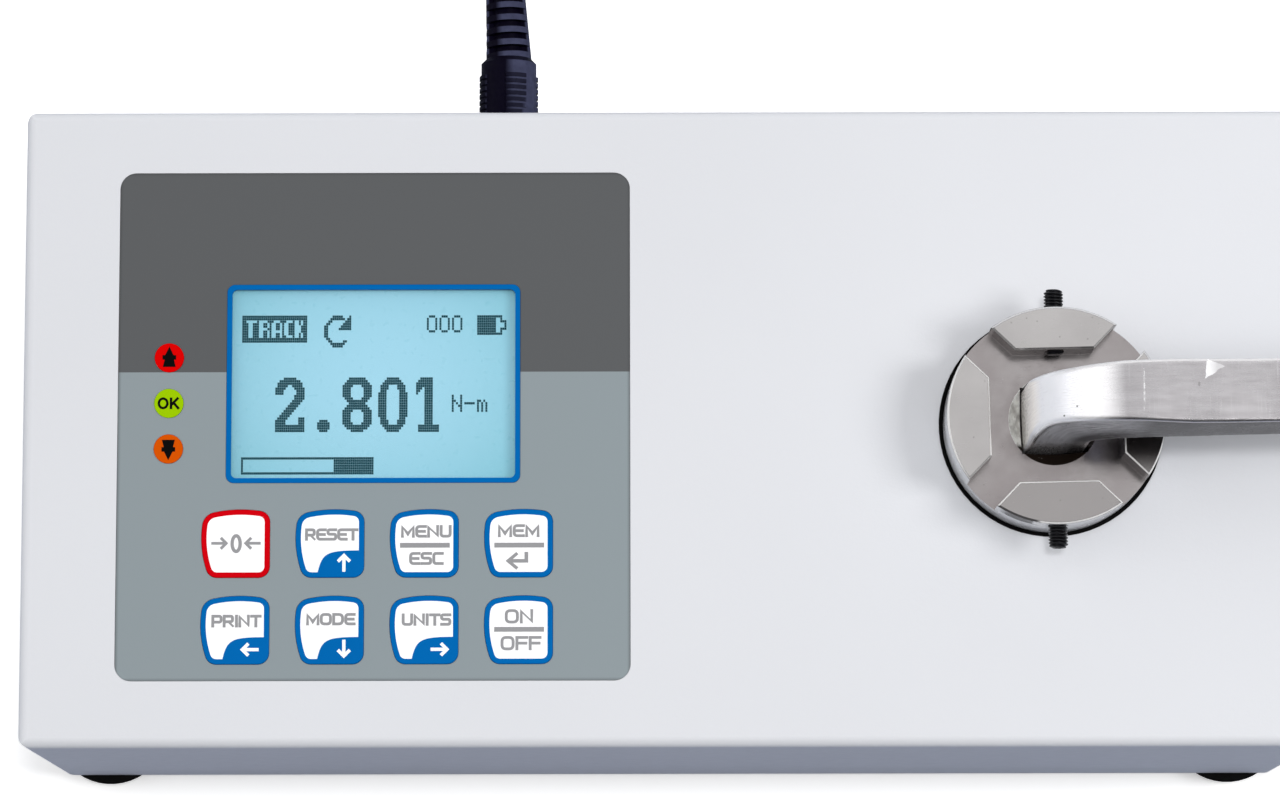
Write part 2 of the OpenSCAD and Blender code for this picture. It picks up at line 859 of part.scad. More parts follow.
module lcd_backlight() {
    color("#f2f4f2")
        at_display()
            block([glass_w, glass_h, glass_top - glass_t - front_board_z], front_board_z);
}

module indicator_disc(i) {
    at_indicator(i)
        translate([0, 0, floor_z])
            cylinder(r = indicator_d / 2, h = film_t + 0.1);
}

module indicator_high() {
    color("#e20a12")
        indicator_disc(0);
}

module indicator_ok() {
    color("#94bf0c")
        indicator_disc(1);
}

module indicator_low() {
    color("#ea5c0a")
        indicator_disc(2);
}

module indicator_lamps() {
    dome_z = floor_z - 0.1 - lamp_d / 2;
    color("#e9ecec")
        for (i = [0:2])
            at_indicator(i)
                rotate_extrude() {
                    translate([0, front_board_z])
                        square([lamp_d / 2 + 0.4, 1]);
                    translate([0, front_board_z])
                        square([lamp_d / 2, dome_z - front_board_z]);
                    intersection() {
                        translate([0, dome_z])
                            circle(lamp_d / 2);
                        translate([0, dome_z])
                            square(lamp_d / 2);
                    }
                }
}

// Front board
module at_spacers() {
    at_panel()
        for (sx = [-1, 1], sy = [-1, 1])
            translate([sx * spacer_at, sy * spacer_at, 0])
                children();
}

module front_board() {
    color("#1f6b43")
        difference() {
            at_panel()
                block([front_board_w, front_board_w, board_t], front_board_z - board_t);
            at_spacers()
                translate([0, 0, front_board_z - board_t - 1])
                    cylinder(r = small_screw_d / 2 + screw_gap, h = board_t + 2);
        }
}

module hex_spacer(h) {
    difference() {
        cylinder(r = spacer_af / sqrt(3), h = h, $fn = 6);
        translate([0, 0, -1])
            cylinder(r = small_screw_d / 2 + screw_gap, h = h + 2);
    }
}

module front_spacers() {
    color("#c9b458")
        at_spacers()
            translate([0, 0, front_board_z])
                hex_spacer(front_gap);
}

module key_switches() {
    color("#202224")
        for (i = [0:7])
            at_key(i)
                difference() {
                    block([switch_w, switch_w, switch_h], front_board_z);
                    translate([0, 0, stem_foot() - key_travel - key_stop])
                        cylinder(r = stem_r + stem_gap, h = switch_h);
                }
}

// Keys
function stem_foot() = front_board_z + switch_h - stem_depth;

module key(i) {
    at_key(i) {
        translate([0, 0, under_z])
            linear_extrude(film_top + key_proud - under_z)
                polygon(key_points(0));
        translate([0, 0, under_z - flange_t])
            linear_extrude(flange_t)
                polygon(key_points(key_flange));
        translate([0, 0, stem_foot()])
            cylinder(r = stem_r, h = under_z - stem_foot());
    }
}

module key_zero() {
    color("#f4f4f4")
        key(0);
}

module key_reset() {
    color("#f4f4f4")
        key(1);
}

module key_menu() {
    color("#f4f4f4")
        key(2);
}

module key_memory() {
    color("#f4f4f4")
        key(3);
}

module key_print() {
    color("#f4f4f4")
        key(4);
}

module key_mode() {
    color("#f4f4f4")
        key(5);
}

module key_units() {
    color("#f4f4f4")
        key(6);
}

module key_power() {
    color("#f4f4f4")
        key(7);
}

// Main board
module at_main_corners() {
    at_box()
        for (sx = [-1, 1], sy = [-1, 1])
            translate([main_x + sx * (main_w / 2 - main_inset), sy * (main_d / 2 - main_inset), 0])
                children();
}

module main_board() {
    color("#1f6b43")
        difference() {
            at_box()
                translate([main_x, 0, 0])
                    block([main_w, main_d, board_t], main_z);
            at_main_corners()
                translate([0, 0, main_z - 1])
                    cylinder(r = small_screw_d / 2 + screw_gap, h = board_t + 2);
        }
}

module main_spacers() {
    color("#c9b458")
        at_main_corners()
            translate([0, 0, plate_top])
                hex_spacer(main_gap);
}

module board_parts() {
    z = main_z + board_t;
    color("#26282b")
        at_box()
            translate([main_x, 0, 0]) {
                translate([-main_w / 5, main_d / 9, 0])
                    block([chip_w, chip_w, chip_t], z);
                translate([-main_w / 5, -main_d / 5, 0])
                    block([converter_w, converter_l, chip_t], z);
                translate([main_w / 12, main_d / 4.5, 0])
                    block([header_l, header_w, header_h], z);
                for (y = [-main_d / 5, -main_d / 5 + 2.5 * capacitor_r])
                    translate([-main_w / 2.6, y, z])
                        cylinder(r = capacitor_r, h = capacitor_h);
                translate([main_w / 17, -main_d / 6, 0])
                    block([choke_w, choke_w, choke_h], z);
            }
}

// One node for the twelve equal pan-head screws
module board_screws() {
    color("#b8babd") {
        at_spacers()
            translate([0, 0, front_board_z - board_t])
                mirror([0, 0, 1])
                    pan_screw(small_screw_d, small_screw_l);
        at_main_corners()
            translate([0, 0, main_z + board_t])
                pan_screw(small_screw_d, small_screw_l);
        at_strap_feet()
            translate([0, 0, plate_top + strap_t])
                pan_screw(small_screw_d, small_screw_l - 1);
        at_bosses()
            translate([0, 0, -board_t])
                mirror([0, 0, 1])
                    pan_screw(small_screw_d, small_screw_l);
    }
}

module sensor_cable() {
    color("#4a4d52")
        tube(wire_route, wire_r);
}

module ribbon_plugs() {
    color("#30343a")
        at_box()
            translate([ribbon_x, 0, 0]) {
                block([plug_block_w, ribbon_w + 4, plug_block_h], main_z + board_t);
                block([plug_block_w, ribbon_w + 4, plug_block_h], front_board_z - board_t - plug_block_h);
            }
}

module ribbon_cable() {
    low = main_z + board_t + plug_block_h;
    high = front_board_z - board_t - plug_block_h;
    half = (high - low) / 2;
    r = (half * half + ribbon_bow * ribbon_bow) / (2 * ribbon_bow);
    color("#a9adb0")
        at_box()
            translate([ribbon_x, ribbon_w / 2, low + half])
                rotate([90, 0, 0])
                    linear_extrude(ribbon_w)
                        intersection() {
                            translate([ribbon_bow - r, 0])
                                difference() {
                                    circle(r + ribbon_t / 2, $fn = 128);
                                    circle(r - ribbon_t / 2, $fn = 128);
                                }
                            translate([-2, -half])
                                square([ribbon_bow + 4, 2 * half]);
                        }
}

module cable_plug() {
    color("#e8e6de")
        at_box()
            translate([wire_plug[0], wire_plug[1], 0])
                block([8, 10, plug_block_h], main_z + board_t);
}

// Battery
module battery_pack() {
    r = cell_d / 2;
    color("#2d5fa8")
        at_box()
            translate([battery_x, cell_l / 2, plate_top + cell_d])
                rotate([90, 0, 0])
                    linear_extrude(cell_l)
                        rounded_rect(2 * cell_d, 2 * cell_d, r);
}

module at_strap_feet() {
    at_box()
        for (s = [-1, 1])
            translate([battery_x + s * (cell_d + strap_t + strap_foot / 2), 0, 0])
                children();
}

module battery_strap() {
    r = cell_d / 2;
    span = 2 * cell_d;
    color("#c3c6ca")
        difference() {
            at_box()
                translate([battery_x, strap_w / 2, plate_top])
                    rotate([90, 0, 0])
                        linear_extrude(strap_w)
                            difference() {
                                union() {
                                    translate([0, cell_d])
                                        rounded_rect(span + 2 * strap_t, span + 2 * strap_t,
                                                     r + strap_t);
                                    translate([-cell_d - strap_t, 0])
                                        square([span + 2 * strap_t, cell_d]);
                                    translate([-cell_d - strap_t - strap_foot, 0])
                                        square([span + 2 * strap_t + 2 * strap_foot, strap_t]);
                                }
                                translate([0, cell_d])
                                    rounded_rect(span, span, r);
                                translate([-cell_d, -strap_t - 1])
                                    square([span, cell_d + strap_t + 1]);
                            }
            at_strap_feet()
                translate([0, 0, plate_top - 1])
                    cylinder(r = small_screw_d / 2 + screw_gap, h = strap_t + 2);
        }
}

// Torque sensor
module sensor_base() {
    color("#b4b7ba")
        difference() {
            block([block_base_w, block_base_w, block_base_h], plate_top);
            at_base_screws()
                cylinder(r = big_screw_d / 2 + screw_gap, h = base_t + base_screw_l);
            at_drive()
                on_diagonals(flange_screw_at)
                    translate([0, 0, base_block_z - block_thread])
                        cylinder(r = big_screw_d / 2 + screw_gap, h = block_thread + 1);
        }
}

module torque_sensor() {
    column_h = sensor_top - hub_t - base_block_z - sensor_flange_t;
    color("#8e9297")
        difference() {
            at_drive() {
                translate([0, 0, base_block_z])
                    cylinder(r = sensor_flange_r, h = sensor_flange_t);
                translate([0, 0, base_block_z + sensor_flange_t])
                    linear_extrude(column_h)
                        intersection() {
                            circle(column_r);
                            union() {
                                square([2 * column_r, column_arm], center = true);
                                square([column_arm, 2 * column_r], center = true);
                            }
                        }
                translate([0, 0, sensor_top - hub_t])
                    cylinder(r = hub_r, h = hub_t);
            }
            at_drive() {
                on_diagonals(flange_screw_at)
                    translate([0, 0, base_block_z - 1])
                        cylinder(r = big_screw_d / 2 + screw_gap, h = sensor_flange_t + 2);
                on_diagonals(hub_screw_at)
                    translate([0, 0, sensor_top - hub_t - 1])
                        cylinder(r = small_screw_d / 2 + screw_gap, h = hub_t + 2);
            }
        }
}

module strain_gauges() {
    z = (base_block_z + sensor_flange_t + sensor_top - hub_t) / 2;
    color("#c98a4b")
        at_drive()
            for (a = [0:90:270])
                rotate(a)
                    translate([column_r / 2 - 1, column_arm / 2, z - gauge_h / 2])
                        cube([gauge_w, gauge_t, gauge_h]);
}

module sensor_screws() {
    color("#3a3c40")
        at_drive()
            on_diagonals(flange_screw_at)
                translate([0, 0, base_block_z + sensor_flange_t])
                    pan_screw(big_screw_d, sensor_flange_t + block_thread - 1);
}

// Chuck
module chuck_channels() {
    for (a = [45, 135])
        rotate(a)
            block([2 * chuck_r + 2, channel_w, channel_depth + 1], channel_z);
    block([2 * jaw_in, 2 * jaw_in, channel_depth + 1], channel_z);
}

// Long square bars laid on edge cut a chamfer along each jaw's rims
module jaw_chamfers() {
    side = edge_c * sqrt(2);
    for (a = [45, 135], s = [-1, 1])
        rotate(a)
            translate([0, s * channel_w / 2, jaw_top])
                rotate([45, 0, 0])
                    cube([2 * chuck_r + 2, side, side], center = true);
    for (a = [0:90:270])
        rotate(a)
            translate([0, jaw_in, jaw_top])
                rotate([45, 0, 0])
                    cube([2 * (jaw_in - channel_w / sqrt(2)), side, side], center = true);
}

module chuck() {
    color("#c9c4bf")
        at_drive()
            difference() {
                rotate_extrude()
                    polygon([
                        [0, sensor_top], [chuck_r, sensor_top], [chuck_r, jaw_top - edge_c],
                        [chuck_r - edge_c, jaw_top], [0, jaw_top]]);
                chuck_channels();
                jaw_chamfers();
                block([socket_w, socket_w, socket_depth + 1], socket_z);
                translate([0, 0, channel_z - sink_depth])
                    cylinder(r1 = socket_w / 2, r2 = sink_r, h = sink_depth);
                translate([0, 0, channel_z - 0.01])
                    cylinder(r = sink_r, h = 0.2);
                rotate(grub_turn)
                    translate([0, chuck_r + 1, grub_z])
                        rotate([90, 0, 0])
                            cylinder(r = grub_d / 2 + grub_gap, h = 2 * chuck_r + 2);
                on_diagonals(hub_screw_at)
                    translate([0, 0, sensor_top - 1])
                        cylinder(r = small_screw_d / 2 + screw_gap, h = chuck_hole_l + 1);
            }
}

module chuck_screws() {
    color("#3a3c40")
        at_drive()
            on_diagonals(hub_screw_at)
                translate([0, 0, sensor_top - hub_t])
                    mirror([0, 0, 1])
                        pan_screw(small_screw_d, hub_t + chuck_screw_in);
}

module seal_ring() {
    color("#0c0c0e")
        rotate_extrude()
            polygon([
                [chuck_r + ring_gap, under_z - 1.2], [ring_r + ring_flange, under_z - 1.2],
                [ring_r + ring_flange, under_z], [ring_r, under_z],
                [ring_r, top_z + ring_proud], [chuck_r + ring_gap, top_z + ring_proud]]);
}

module grub_screw(turn, inner) {
    at_drive()
        rotate(turn + grub_turn)
            translate([0, inner, grub_z])
                rotate([-90, 0, 0])
                    difference() {
                        rotate_extrude()
                            polygon([
                                [0, 0], [grub_d / 2 - 0.4, 0], [grub_d / 2, 0.4],
                                [grub_d / 2, grub_l - 0.3], [grub_d / 2 - 0.3, grub_l],
                                [0, grub_l]]);
                        translate([0, 0, grub_l - 2])
                            cylinder(r = grub_hex / sqrt(3), h = 3, $fn = 6);
                    }
}

module grub_screw_back() {
    color("#111214")
        grub_screw(0, grub_back_in);
}

module grub_screw_front() {
    color("#111214")
        grub_screw(180, grub_front_in);
}

// Lever: a square bar swept up its leg, round the bend and out along its arm
lever_inner = lever_bend - bar_w;
bend_z = top_z + lever_top - lever_bend;
bend_x = lever_bend - bar_w / 2 - leg_shift;
bend_steps = 16;

// Half widths of the bar's outer and inner faces, at a share t of the bend
function swell(t) = lever_swell * pow(sin(180 * t), 2);

// The bar's section, seen along the bar: u points to the outside of the bend
function bar_section(t) =
    let (h = bar_w / 2, e = bar_edge, a = h - swell(t) / 2, b = h + swell(t))
    concat(
        arc([h - e, a - e], e, 0, 90, 3), arc([e - h, b - e], e, 90, 180, 3),
        arc([e - h, e - b], e, 180, 270, 3), arc([h - e, e - a], e, 270, 360, 3));

// Places along the bar: [x, z, turn of the section, share of the bend]
lever_stations = concat(
    [[-leg_shift, socket_z, 0, 0]],
    [for (i = [0:bend_steps])
        let (a = 90 * i / bend_steps, r = lever_bend - bar_w / 2)
        [bend_x - r * cos(a), bend_z + r * sin(a), a, i / bend_steps]],
    [[lever_reach, bend_z + lever_bend - bar_w / 2, 90, 1]]);

function lever_ring(s) =
    [for (p = bar_section(s[3])) [s[0] - p[0] * cos(s[2]), p[1], s[1] + p[0] * sin(s[2])]];

module lever() {
    n = len(bar_section(0));
    m = len(lever_stations);
    color("#bfc1c4")
        at_drive()
            polyhedron(
                points = [for (s = lever_stations) each lever_ring(s)],
                faces = concat(
                    [[for (j = [0:n - 1]) j]],
                    [for (i = [0:m - 2], j = [0:n - 1])
                        [i * n + j, (i + 1) * n + j, (i + 1) * n + (j + 1) % n, i * n + (j + 1) % n]],
                    [[for (j = [n - 1:-1:0]) (m - 1) * n + j]]));
}

// Rear sockets
module port_board() {
    color("#1f6b43")
        difference() {
            at_box()
                translate([port_mid - port_board_w / 2, port_y - board_t, port_z - port_board_h / 2])
                    cube([port_board_w, board_t, port_board_h]);
            at_bosses()
                translate([0, 0, -board_t - 1])
                    cylinder(r = small_screw_d / 2 + screw_gap, h = board_t + 2);
        }
}

module power_socket() {
    body_l = port_depth - cover_t - 0.1;
    color("#141517")
        at_box()
            translate([power_x, port_y, port_z])
                rotate([-90, 0, 0]) {
                    difference() {
                        union() {
                            translate([-jack_case_w / 2, -jack_case_h / 2, 0])
                                cube([jack_case_w, jack_case_h, body_l]);
                            cylinder(r = collar_r, h = port_depth);
                        }
                        translate([0, 0, port_depth - barrel_l - 0.5])
                            cylinder(r = jack_r, h = barrel_l + 2);
                    }
                    cylinder(r = 1, h = port_depth - 1.5);
                }
}

module data_socket() {
    color("#bfc2c6")
        at_box()
            translate([data_x - data_w / 2, port_y, port_z - data_h / 2])
                difference() {
                    cube([data_w, port_depth, data_h]);
                    translate([data_wall, -1, data_wall])
                        cube([data_w - 2 * data_wall, port_depth + 2, data_h - 2 * data_wall]);
                }
}

module data_socket_core() {
    core_w = data_w - 2 * data_wall;
    core_h = data_h - 2 * data_wall;
    root_l = port_depth - tongue_l - 0.5;
    color("#1b1c1e")
        at_box()
            translate([data_x, port_y, port_z]) {
                translate([-core_w / 2, 0, -core_h / 2])
                    cube([core_w, root_l, core_h]);
                translate([1 - core_w / 2, 0, -tongue_t / 2])
                    cube([core_w - 2, root_l + tongue_l, tongue_t]);
            }
}

// Power plug, pushed home in its socket
module at_plug() {
    at_box()
        translate([power_x, box_d / 2, port_z])
            rotate([-90, 0, 0])
                children();
}

module power_plug() {
    ribs = 9;
    color("#131420")
        at_plug() {
            difference() {
                translate([0, 0, -barrel_l])
                    cylinder(r = barrel_r, h = barrel_l + 1);
                translate([0, 0, -barrel_l - 1])
                    cylinder(r = 1.3, h = barrel_l);
            }
            rotate_extrude()
                polygon([
                    [0, 0], [grip_r - 0.3, 0], [grip_r, 0.3], [grip_r, grip_l - 0.8],
                    [grip_r - 0.8, grip_l], [0, grip_l]]);
            intersection() {
                for (i = [0:ribs - 1])
                    translate([0, 0, grip_l / 2 + (i - (ribs - 1) / 2) * rib_pitch - 0.3])
                        cylinder(r = grip_r + rib_proud, h = 0.6);
                rotate(17) {
                    block([4 * grip_r, 3.4, grip_l]);
                    block([3.4, 4 * grip_r, grip_l]);
                }
            }
        }
}

// Strain relief: a slotted taper with a spine left and right
module plug_relief() {
    slots = 8;
    core_r = cord_d / 2 + 0.2;
    color("#131420")
        at_plug()
            translate([0, 0, grip_l])
                difference() {
                    rotate([0, -relief_lean, 0])
                        difference() {
                            translate([0, 0, -1])
                                cylinder(r1 = relief_r0, r2 = relief_r1, h = relief_l + 1);
                            for (i = [0:slots - 1])
                                translate([0, 0, 0.8 + i * slot_pitch])
                                    difference() {
                                        cylinder(r = relief_r0 + 1, h = slot_w);
                                        translate([0, 0, -1])
                                            cylinder(r = core_r, h = slot_w + 2);
                                        block([3 * relief_r0, 1.6, slot_w + 2], -1);
                                    }
                        }
                    block([4 * relief_r0, 4 * relief_r0, 2], -2);
                }
}

// Tube of radius r with eight sides along a route
function unit(v) = v / norm(v);

function heading(p, i) =
    unit((i < len(p) - 1 ? p[i + 1] : p[i]) - (i > 0 ? p[i - 1] : p[i]));

module tube(route, r) {
    n = 8;
    m = len(route);
    rings = [for (i = [0:m - 1])
        let (t = heading(route, i), side = unit(cross(t, [0, 0, 1])), up = cross(side, t))
        for (j = [0:n - 1])
            route[i] + r * (cos(360 * j / n) * side + sin(360 * j / n) * up)];
    polyhedron(
        points = rings,
        faces = concat(
            [[for (j = [0:n - 1]) j]],
            [for (i = [0:m - 2], j = [0:n - 1])
                [i * n + j, (i + 1) * n + j, (i + 1) * n + (j + 1) % n, i * n + (j + 1) % n]],
            [[for (j = [n - 1:-1:0]) (m - 1) * n + j]]));
}

module power_cord() {
    color("#131420")
        tube(cord_route, cord_d / 2);
}

module supply_cord() {
    color("#131420")
        tube(supply_route, cord_d / 2);
}

module cord_coil() {
    color("#131420")
        translate([coil_at[0], coil_at[1], tie_t + coil_h / 2])
            rotate_extrude()
                translate([coil_mean_r, 0])
                    rounded_rect(2 * coil_half, coil_h, cord_d / 2);
}

// Tie round the coil's cross-section, bent to the coil's round
module coil_tie() {
    turn = 2 * asin(tie_w / 2 / coil_mean_r);
    inside = 2 * (coil_half + tie_gap);
    color("#0d0d0f")
        translate([coil_at[0], coil_at[1], tie_t + coil_h / 2])
            rotate(-90 - turn / 2)
                rotate_extrude(angle = turn)
                    translate([coil_mean_r, 0])
                        difference() {
                            rounded_rect(inside + 2 * tie_t, coil_h + 2 * tie_t,
                                         cord_d / 2 + tie_t);
                            rounded_rect(inside, coil_h, cord_d / 2);
                        }
}

module supply_case() {
    color("#1a1b1e")
        translate([supply_at[0], supply_at[1], 0]) {
            difference() {
                translate([0, 0, 0.8])
                    linear_extrude(supply_h - 1.6)
                        rounded_rect(supply_l, supply_w, supply_r);
                pin_holes();
            }
            linear_extrude(0.8)
                rounded_rect(supply_l - 1.6, supply_w - 1.6, supply_r - 0.8);
            difference() {
                translate([0, 0, supply_h - 0.8])
                    linear_extrude(0.8)
                        rounded_rect(supply_l - 1.6, supply_w - 1.6, supply_r - 0.8);
                pin_holes();
            }
            translate([-supply_l / 2 - supply_relief_l, 0, supply_h / 2])
                rotate([0, 90, 0])
                    cylinder(r1 = relief_r1, r2 = relief_r0 + 0.3, h = supply_relief_l + 1);
        }
}

module pin_holes() {
    for (s = [-1, 1])
        translate([pin_x, s * pin_pitch / 2, supply_h - pin_set])
            cylinder(r = pin_shank_r, h = pin_set + 1);
}

// Round contact pins, each on a thinner shank
module supply_pins() {
    shoulder = pin_set + pin_neck;
    tip = pin_set + pin_l;
    color("#c8cacd")
        for (s = [-1, 1])
            translate([supply_at[0] + pin_x, supply_at[1] + s * pin_pitch / 2, supply_h - pin_set])
                rotate_extrude()
                    polygon([
                        [0, 0], [pin_shank_r, 0], [pin_shank_r, shoulder], [pin_r, shoulder],
                        [pin_r, tip - 1], [pin_r - 1, tip], [0, tip]]);
}

top_cover();
base_plate();
base_screws();
spacer_screws();
rubber_feet();
foot_screws();
keypad_overlay();
window_frame();
display_window();
lcd_glass();
lcd_bezel();
lcd_backlight();
indicator_high();
indicator_ok();
indicator_low();
indicator_lamps();
front_board();
front_spacers();
key_switches();
key_zero();
key_reset();
key_menu();
key_memory();
key_print();
key_mode();
key_units();
key_power();
main_board();
main_spacers();
board_parts();
board_screws();
ribbon_cable();
ribbon_plugs();
sensor_cable();
cable_plug();
battery_pack();
battery_strap();
sensor_base();
torque_sensor();
strain_gauges();
sensor_screws();
chuck();
chuck_screws();
seal_ring();
grub_screw_back();
grub_screw_front();
lever();
port_board();
power_socket();
data_socket();
data_socket_core();
power_plug();
plug_relief();
power_cord();
cord_coil();
coil_tie();
supply_cord();
supply_case();
supply_pins();
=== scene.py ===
import math

import bmesh
import bpy
from bpy.props import (
    FloatProperty,
    FloatVectorProperty,
    IntProperty,
    PointerProperty,
)
from mathutils import Matrix, Vector, noise


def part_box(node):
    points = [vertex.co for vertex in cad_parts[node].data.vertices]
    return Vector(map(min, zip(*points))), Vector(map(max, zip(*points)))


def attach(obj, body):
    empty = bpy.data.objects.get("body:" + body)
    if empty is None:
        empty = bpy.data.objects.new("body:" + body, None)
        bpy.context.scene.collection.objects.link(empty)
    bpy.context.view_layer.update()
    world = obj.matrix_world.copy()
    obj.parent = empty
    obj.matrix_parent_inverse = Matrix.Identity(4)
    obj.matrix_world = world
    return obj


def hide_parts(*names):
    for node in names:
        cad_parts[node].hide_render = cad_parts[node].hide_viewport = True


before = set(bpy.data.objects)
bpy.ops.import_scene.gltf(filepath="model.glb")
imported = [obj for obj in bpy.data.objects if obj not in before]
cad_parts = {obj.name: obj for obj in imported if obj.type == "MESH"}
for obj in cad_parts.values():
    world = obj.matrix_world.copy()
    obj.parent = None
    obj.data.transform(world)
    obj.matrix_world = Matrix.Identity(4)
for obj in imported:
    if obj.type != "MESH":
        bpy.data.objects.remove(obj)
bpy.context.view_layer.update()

bl_info = {
    "name": "Digital torque meter",
    "version": (1, 0, 0),
    "blender": (4, 5, 0),
    "location": "View3D > Sidebar > Torque meter",
    "description": "Dresses the torque meter's solids and sets up its studio",
    "category": "Object",
}

MM = 0.001
BODY = "housing"


def middle(node):
    """Middle of a CAD node's box, in millimetres."""
    low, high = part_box(node)
    return (low + high) / (2 * MM)


def top_of(node):
    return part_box(node)[1].z / MM


# Sizes that a user would change


class TorqueMeterLook(bpy.types.PropertyGroup):
    paint: FloatVectorProperty(
        name="Paint",
        description="Colour of the housing's paint",
        subtype="COLOR",
        default=(0.667, 0.677, 0.707),
    )
    band: FloatVectorProperty(
        name="Panel band",
        description="Colour of the dark band across the panel's back",
        subtype="COLOR",
        default=(0.09, 0.094, 0.098),
    )
    panel: FloatVectorProperty(
        name="Panel",
        description="Colour of the panel below its band",
        subtype="COLOR",
        default=(0.246, 0.287, 0.305),
    )
    blue: FloatVectorProperty(
        name="Blue",
        description="Colour of the window frame and of the key outlines",
        subtype="COLOR",
        default=(0.0, 0.122, 0.40),
    )
    red: FloatVectorProperty(
        name="Red",
        description="Colour of the zero key's outline",
        subtype="COLOR",
        default=(0.58, 0.0, 0.004),
    )
    legend: FloatVectorProperty(
        name="Legend",
        description="Colour of the signs on the keys",
        subtype="COLOR",
        default=(0.30, 0.30, 0.31),
    )
    backlight: FloatVectorProperty(
        name="Display",
        description="Colour of the lit display",
        subtype="COLOR",
        default=(0.278, 0.589, 0.724),
    )
    ink: FloatVectorProperty(
        name="Display dots",
        description="Colour of the display's dark dots",
        subtype="COLOR",
        default=(0.001, 0.038, 0.053),
    )


class TorqueMeterForm(bpy.types.PropertyGroup):
    outline: FloatProperty(
        name="Key outline",
        description="Width of the coloured line round a key",
        subtype="DISTANCE",
        default=0.00075,
    )
    stroke: FloatProperty(
        name="Legend stroke",
        description="Width of the strokes of the letters on the keys",
        subtype="DISTANCE",
        default=0.00044,
    )
    dot_pitch_x: FloatProperty(
        name="Dot pitch across",
        description="Distance between two columns of the display's dots",
        subtype="DISTANCE",
        default=0.000325,
    )
    dot_pitch_y: FloatProperty(
        name="Dot pitch upright",
        description="Distance between two rows of the display's dots",
        subtype="DISTANCE",
        default=0.0003886,
    )
    dot_share: FloatProperty(
        name="Dot share",
        description="Share of the pitch that a dot fills",
        default=0.93,
        min=0.5,
        max=1.0,
    )
    thread_pitch: FloatProperty(
        name="Thread pitch",
        description="Pitch of the grub screws",
        subtype="DISTANCE",
        default=0.0005,
    )
    coil_points: IntProperty(
        name="Coil points",
        description="Points of the cord's curve in one turn of the coil",
        default=18,
        min=12,
        max=48,
    )


class TorqueMeterStage(bpy.types.PropertyGroup):
    lens: FloatProperty(
        name="Lens",
        description="Focal length of the camera",
        subtype="DISTANCE_CAMERA",
        default=140.6,
    )
    left_sky: FloatProperty(
        name="Left sky",
        description="Strength of the bright screen on the left",
        default=4.2,
        min=0.0,
    )
    right_light: FloatProperty(
        name="Right light",
        description="Power of the soft light on the right",
        subtype="POWER",
        default=6.8,
    )
    top_light: FloatProperty(
        name="Top light",
        description="Power of the small light straight above",
        subtype="POWER",
        default=4.75,
    )
    sky: FloatProperty(
        name="Sky",
        description="Strength of the even light all round",
        default=0.257,
        min=0.0,
    )


# Materials


class Wire:
    """A node's output that can be added, multiplied, compared and ramped."""

    def __init__(self, nodes, socket):
        self.nodes, self.socket = nodes, socket

    def __add__(self, other):
        return self.nodes.math("ADD", self, other)

    def __sub__(self, other):
        return self.nodes.math("SUBTRACT", self, other)

    def __rsub__(self, other):
        return self.nodes.math("SUBTRACT", other, self)

    def __mul__(self, other):
        return self.nodes.math("MULTIPLY", self, other)

    def __gt__(self, other):
        return self.nodes.math("GREATER_THAN", self, other)

    def __lt__(self, other):
        return self.nodes.math("LESS_THAN", self, other)

    def __abs__(self):
        return self.nodes.math("ABSOLUTE", self)

    def ramp(self, low, high, to_low=0.0, to_high=1.0):
        """Runs from to_low at low to to_high at high and stays level beyond them."""
        ends = {"From_Min": low, "From_Max": high, "To_Min": to_low, "To_Max": to_high}
        return self.nodes.wire("ShaderNodeMapRange", "Result", Value=self, **ends)


def most(first, *others):
    """The largest of several wires."""
    for other in others:
        first = first.nodes.math("MAXIMUM", first, other)
    return first


def least(first, *others):
    """The smallest of several wires."""
    for other in others:
        first = first.nodes.math("MINIMUM", first, other)
    return first


class Nodes:
    """Short calls for the nodes of a tree."""

    def __init__(self, tree):
        self.tree = tree

    def put(self, socket, value):
        """Sets a socket, or links it to another node's output."""
        value = getattr(value, "socket", value)
        if isinstance(value, bpy.types.NodeSocket):
            self.tree.links.new(value, socket)
        else:
            socket.default_value = value

    def add(self, kind, **values):
        """New node; an underline in a socket's name stands for a space."""
        n = self.tree.nodes.new(kind)
        for key, value in values.items():
            self.put(n.inputs[key.replace("_", " ")], value)
        return n

    def wire(self, kind, output, **values):
        return Wire(self, self.add(kind, **values).outputs[output])

    def math(self, kind, a, b=0.0, clamp=False):
        n = self.add("ShaderNodeMath")
        n.operation = kind
        n.use_clamp = clamp
        self.put(n.inputs[0], a)
        self.put(n.inputs[1], b)
        return Wire(self, n.outputs[0])

    def vector_math(self, kind, *values):
        n = self.add("ShaderNodeVectorMath")
        n.operation = kind
        for socket, value in zip(n.inputs, values):
            self.put(socket, value)
        return Wire(self, n.outputs[0])

    def mix(self, share, a, b):
        n = self.add("ShaderNodeMix")
        n.data_type = "RGBA"
        self.put(n.inputs[0], share)
        for slot, color in ((6, a), (7, b)):
            self.put(n.inputs[slot], color if isinstance(color, Wire) else (*color[:3], 1.0))
        return Wire(self, n.outputs[2])

    def axes(self, vector):
        return [Wire(self, s) for s in self.add("ShaderNodeSeparateXYZ", Vector=vector).outputs]

    def far(self, across, up):
        """Distance of a point from the origin of two axes."""
        return self.math("SQRT", across * across + up * up)


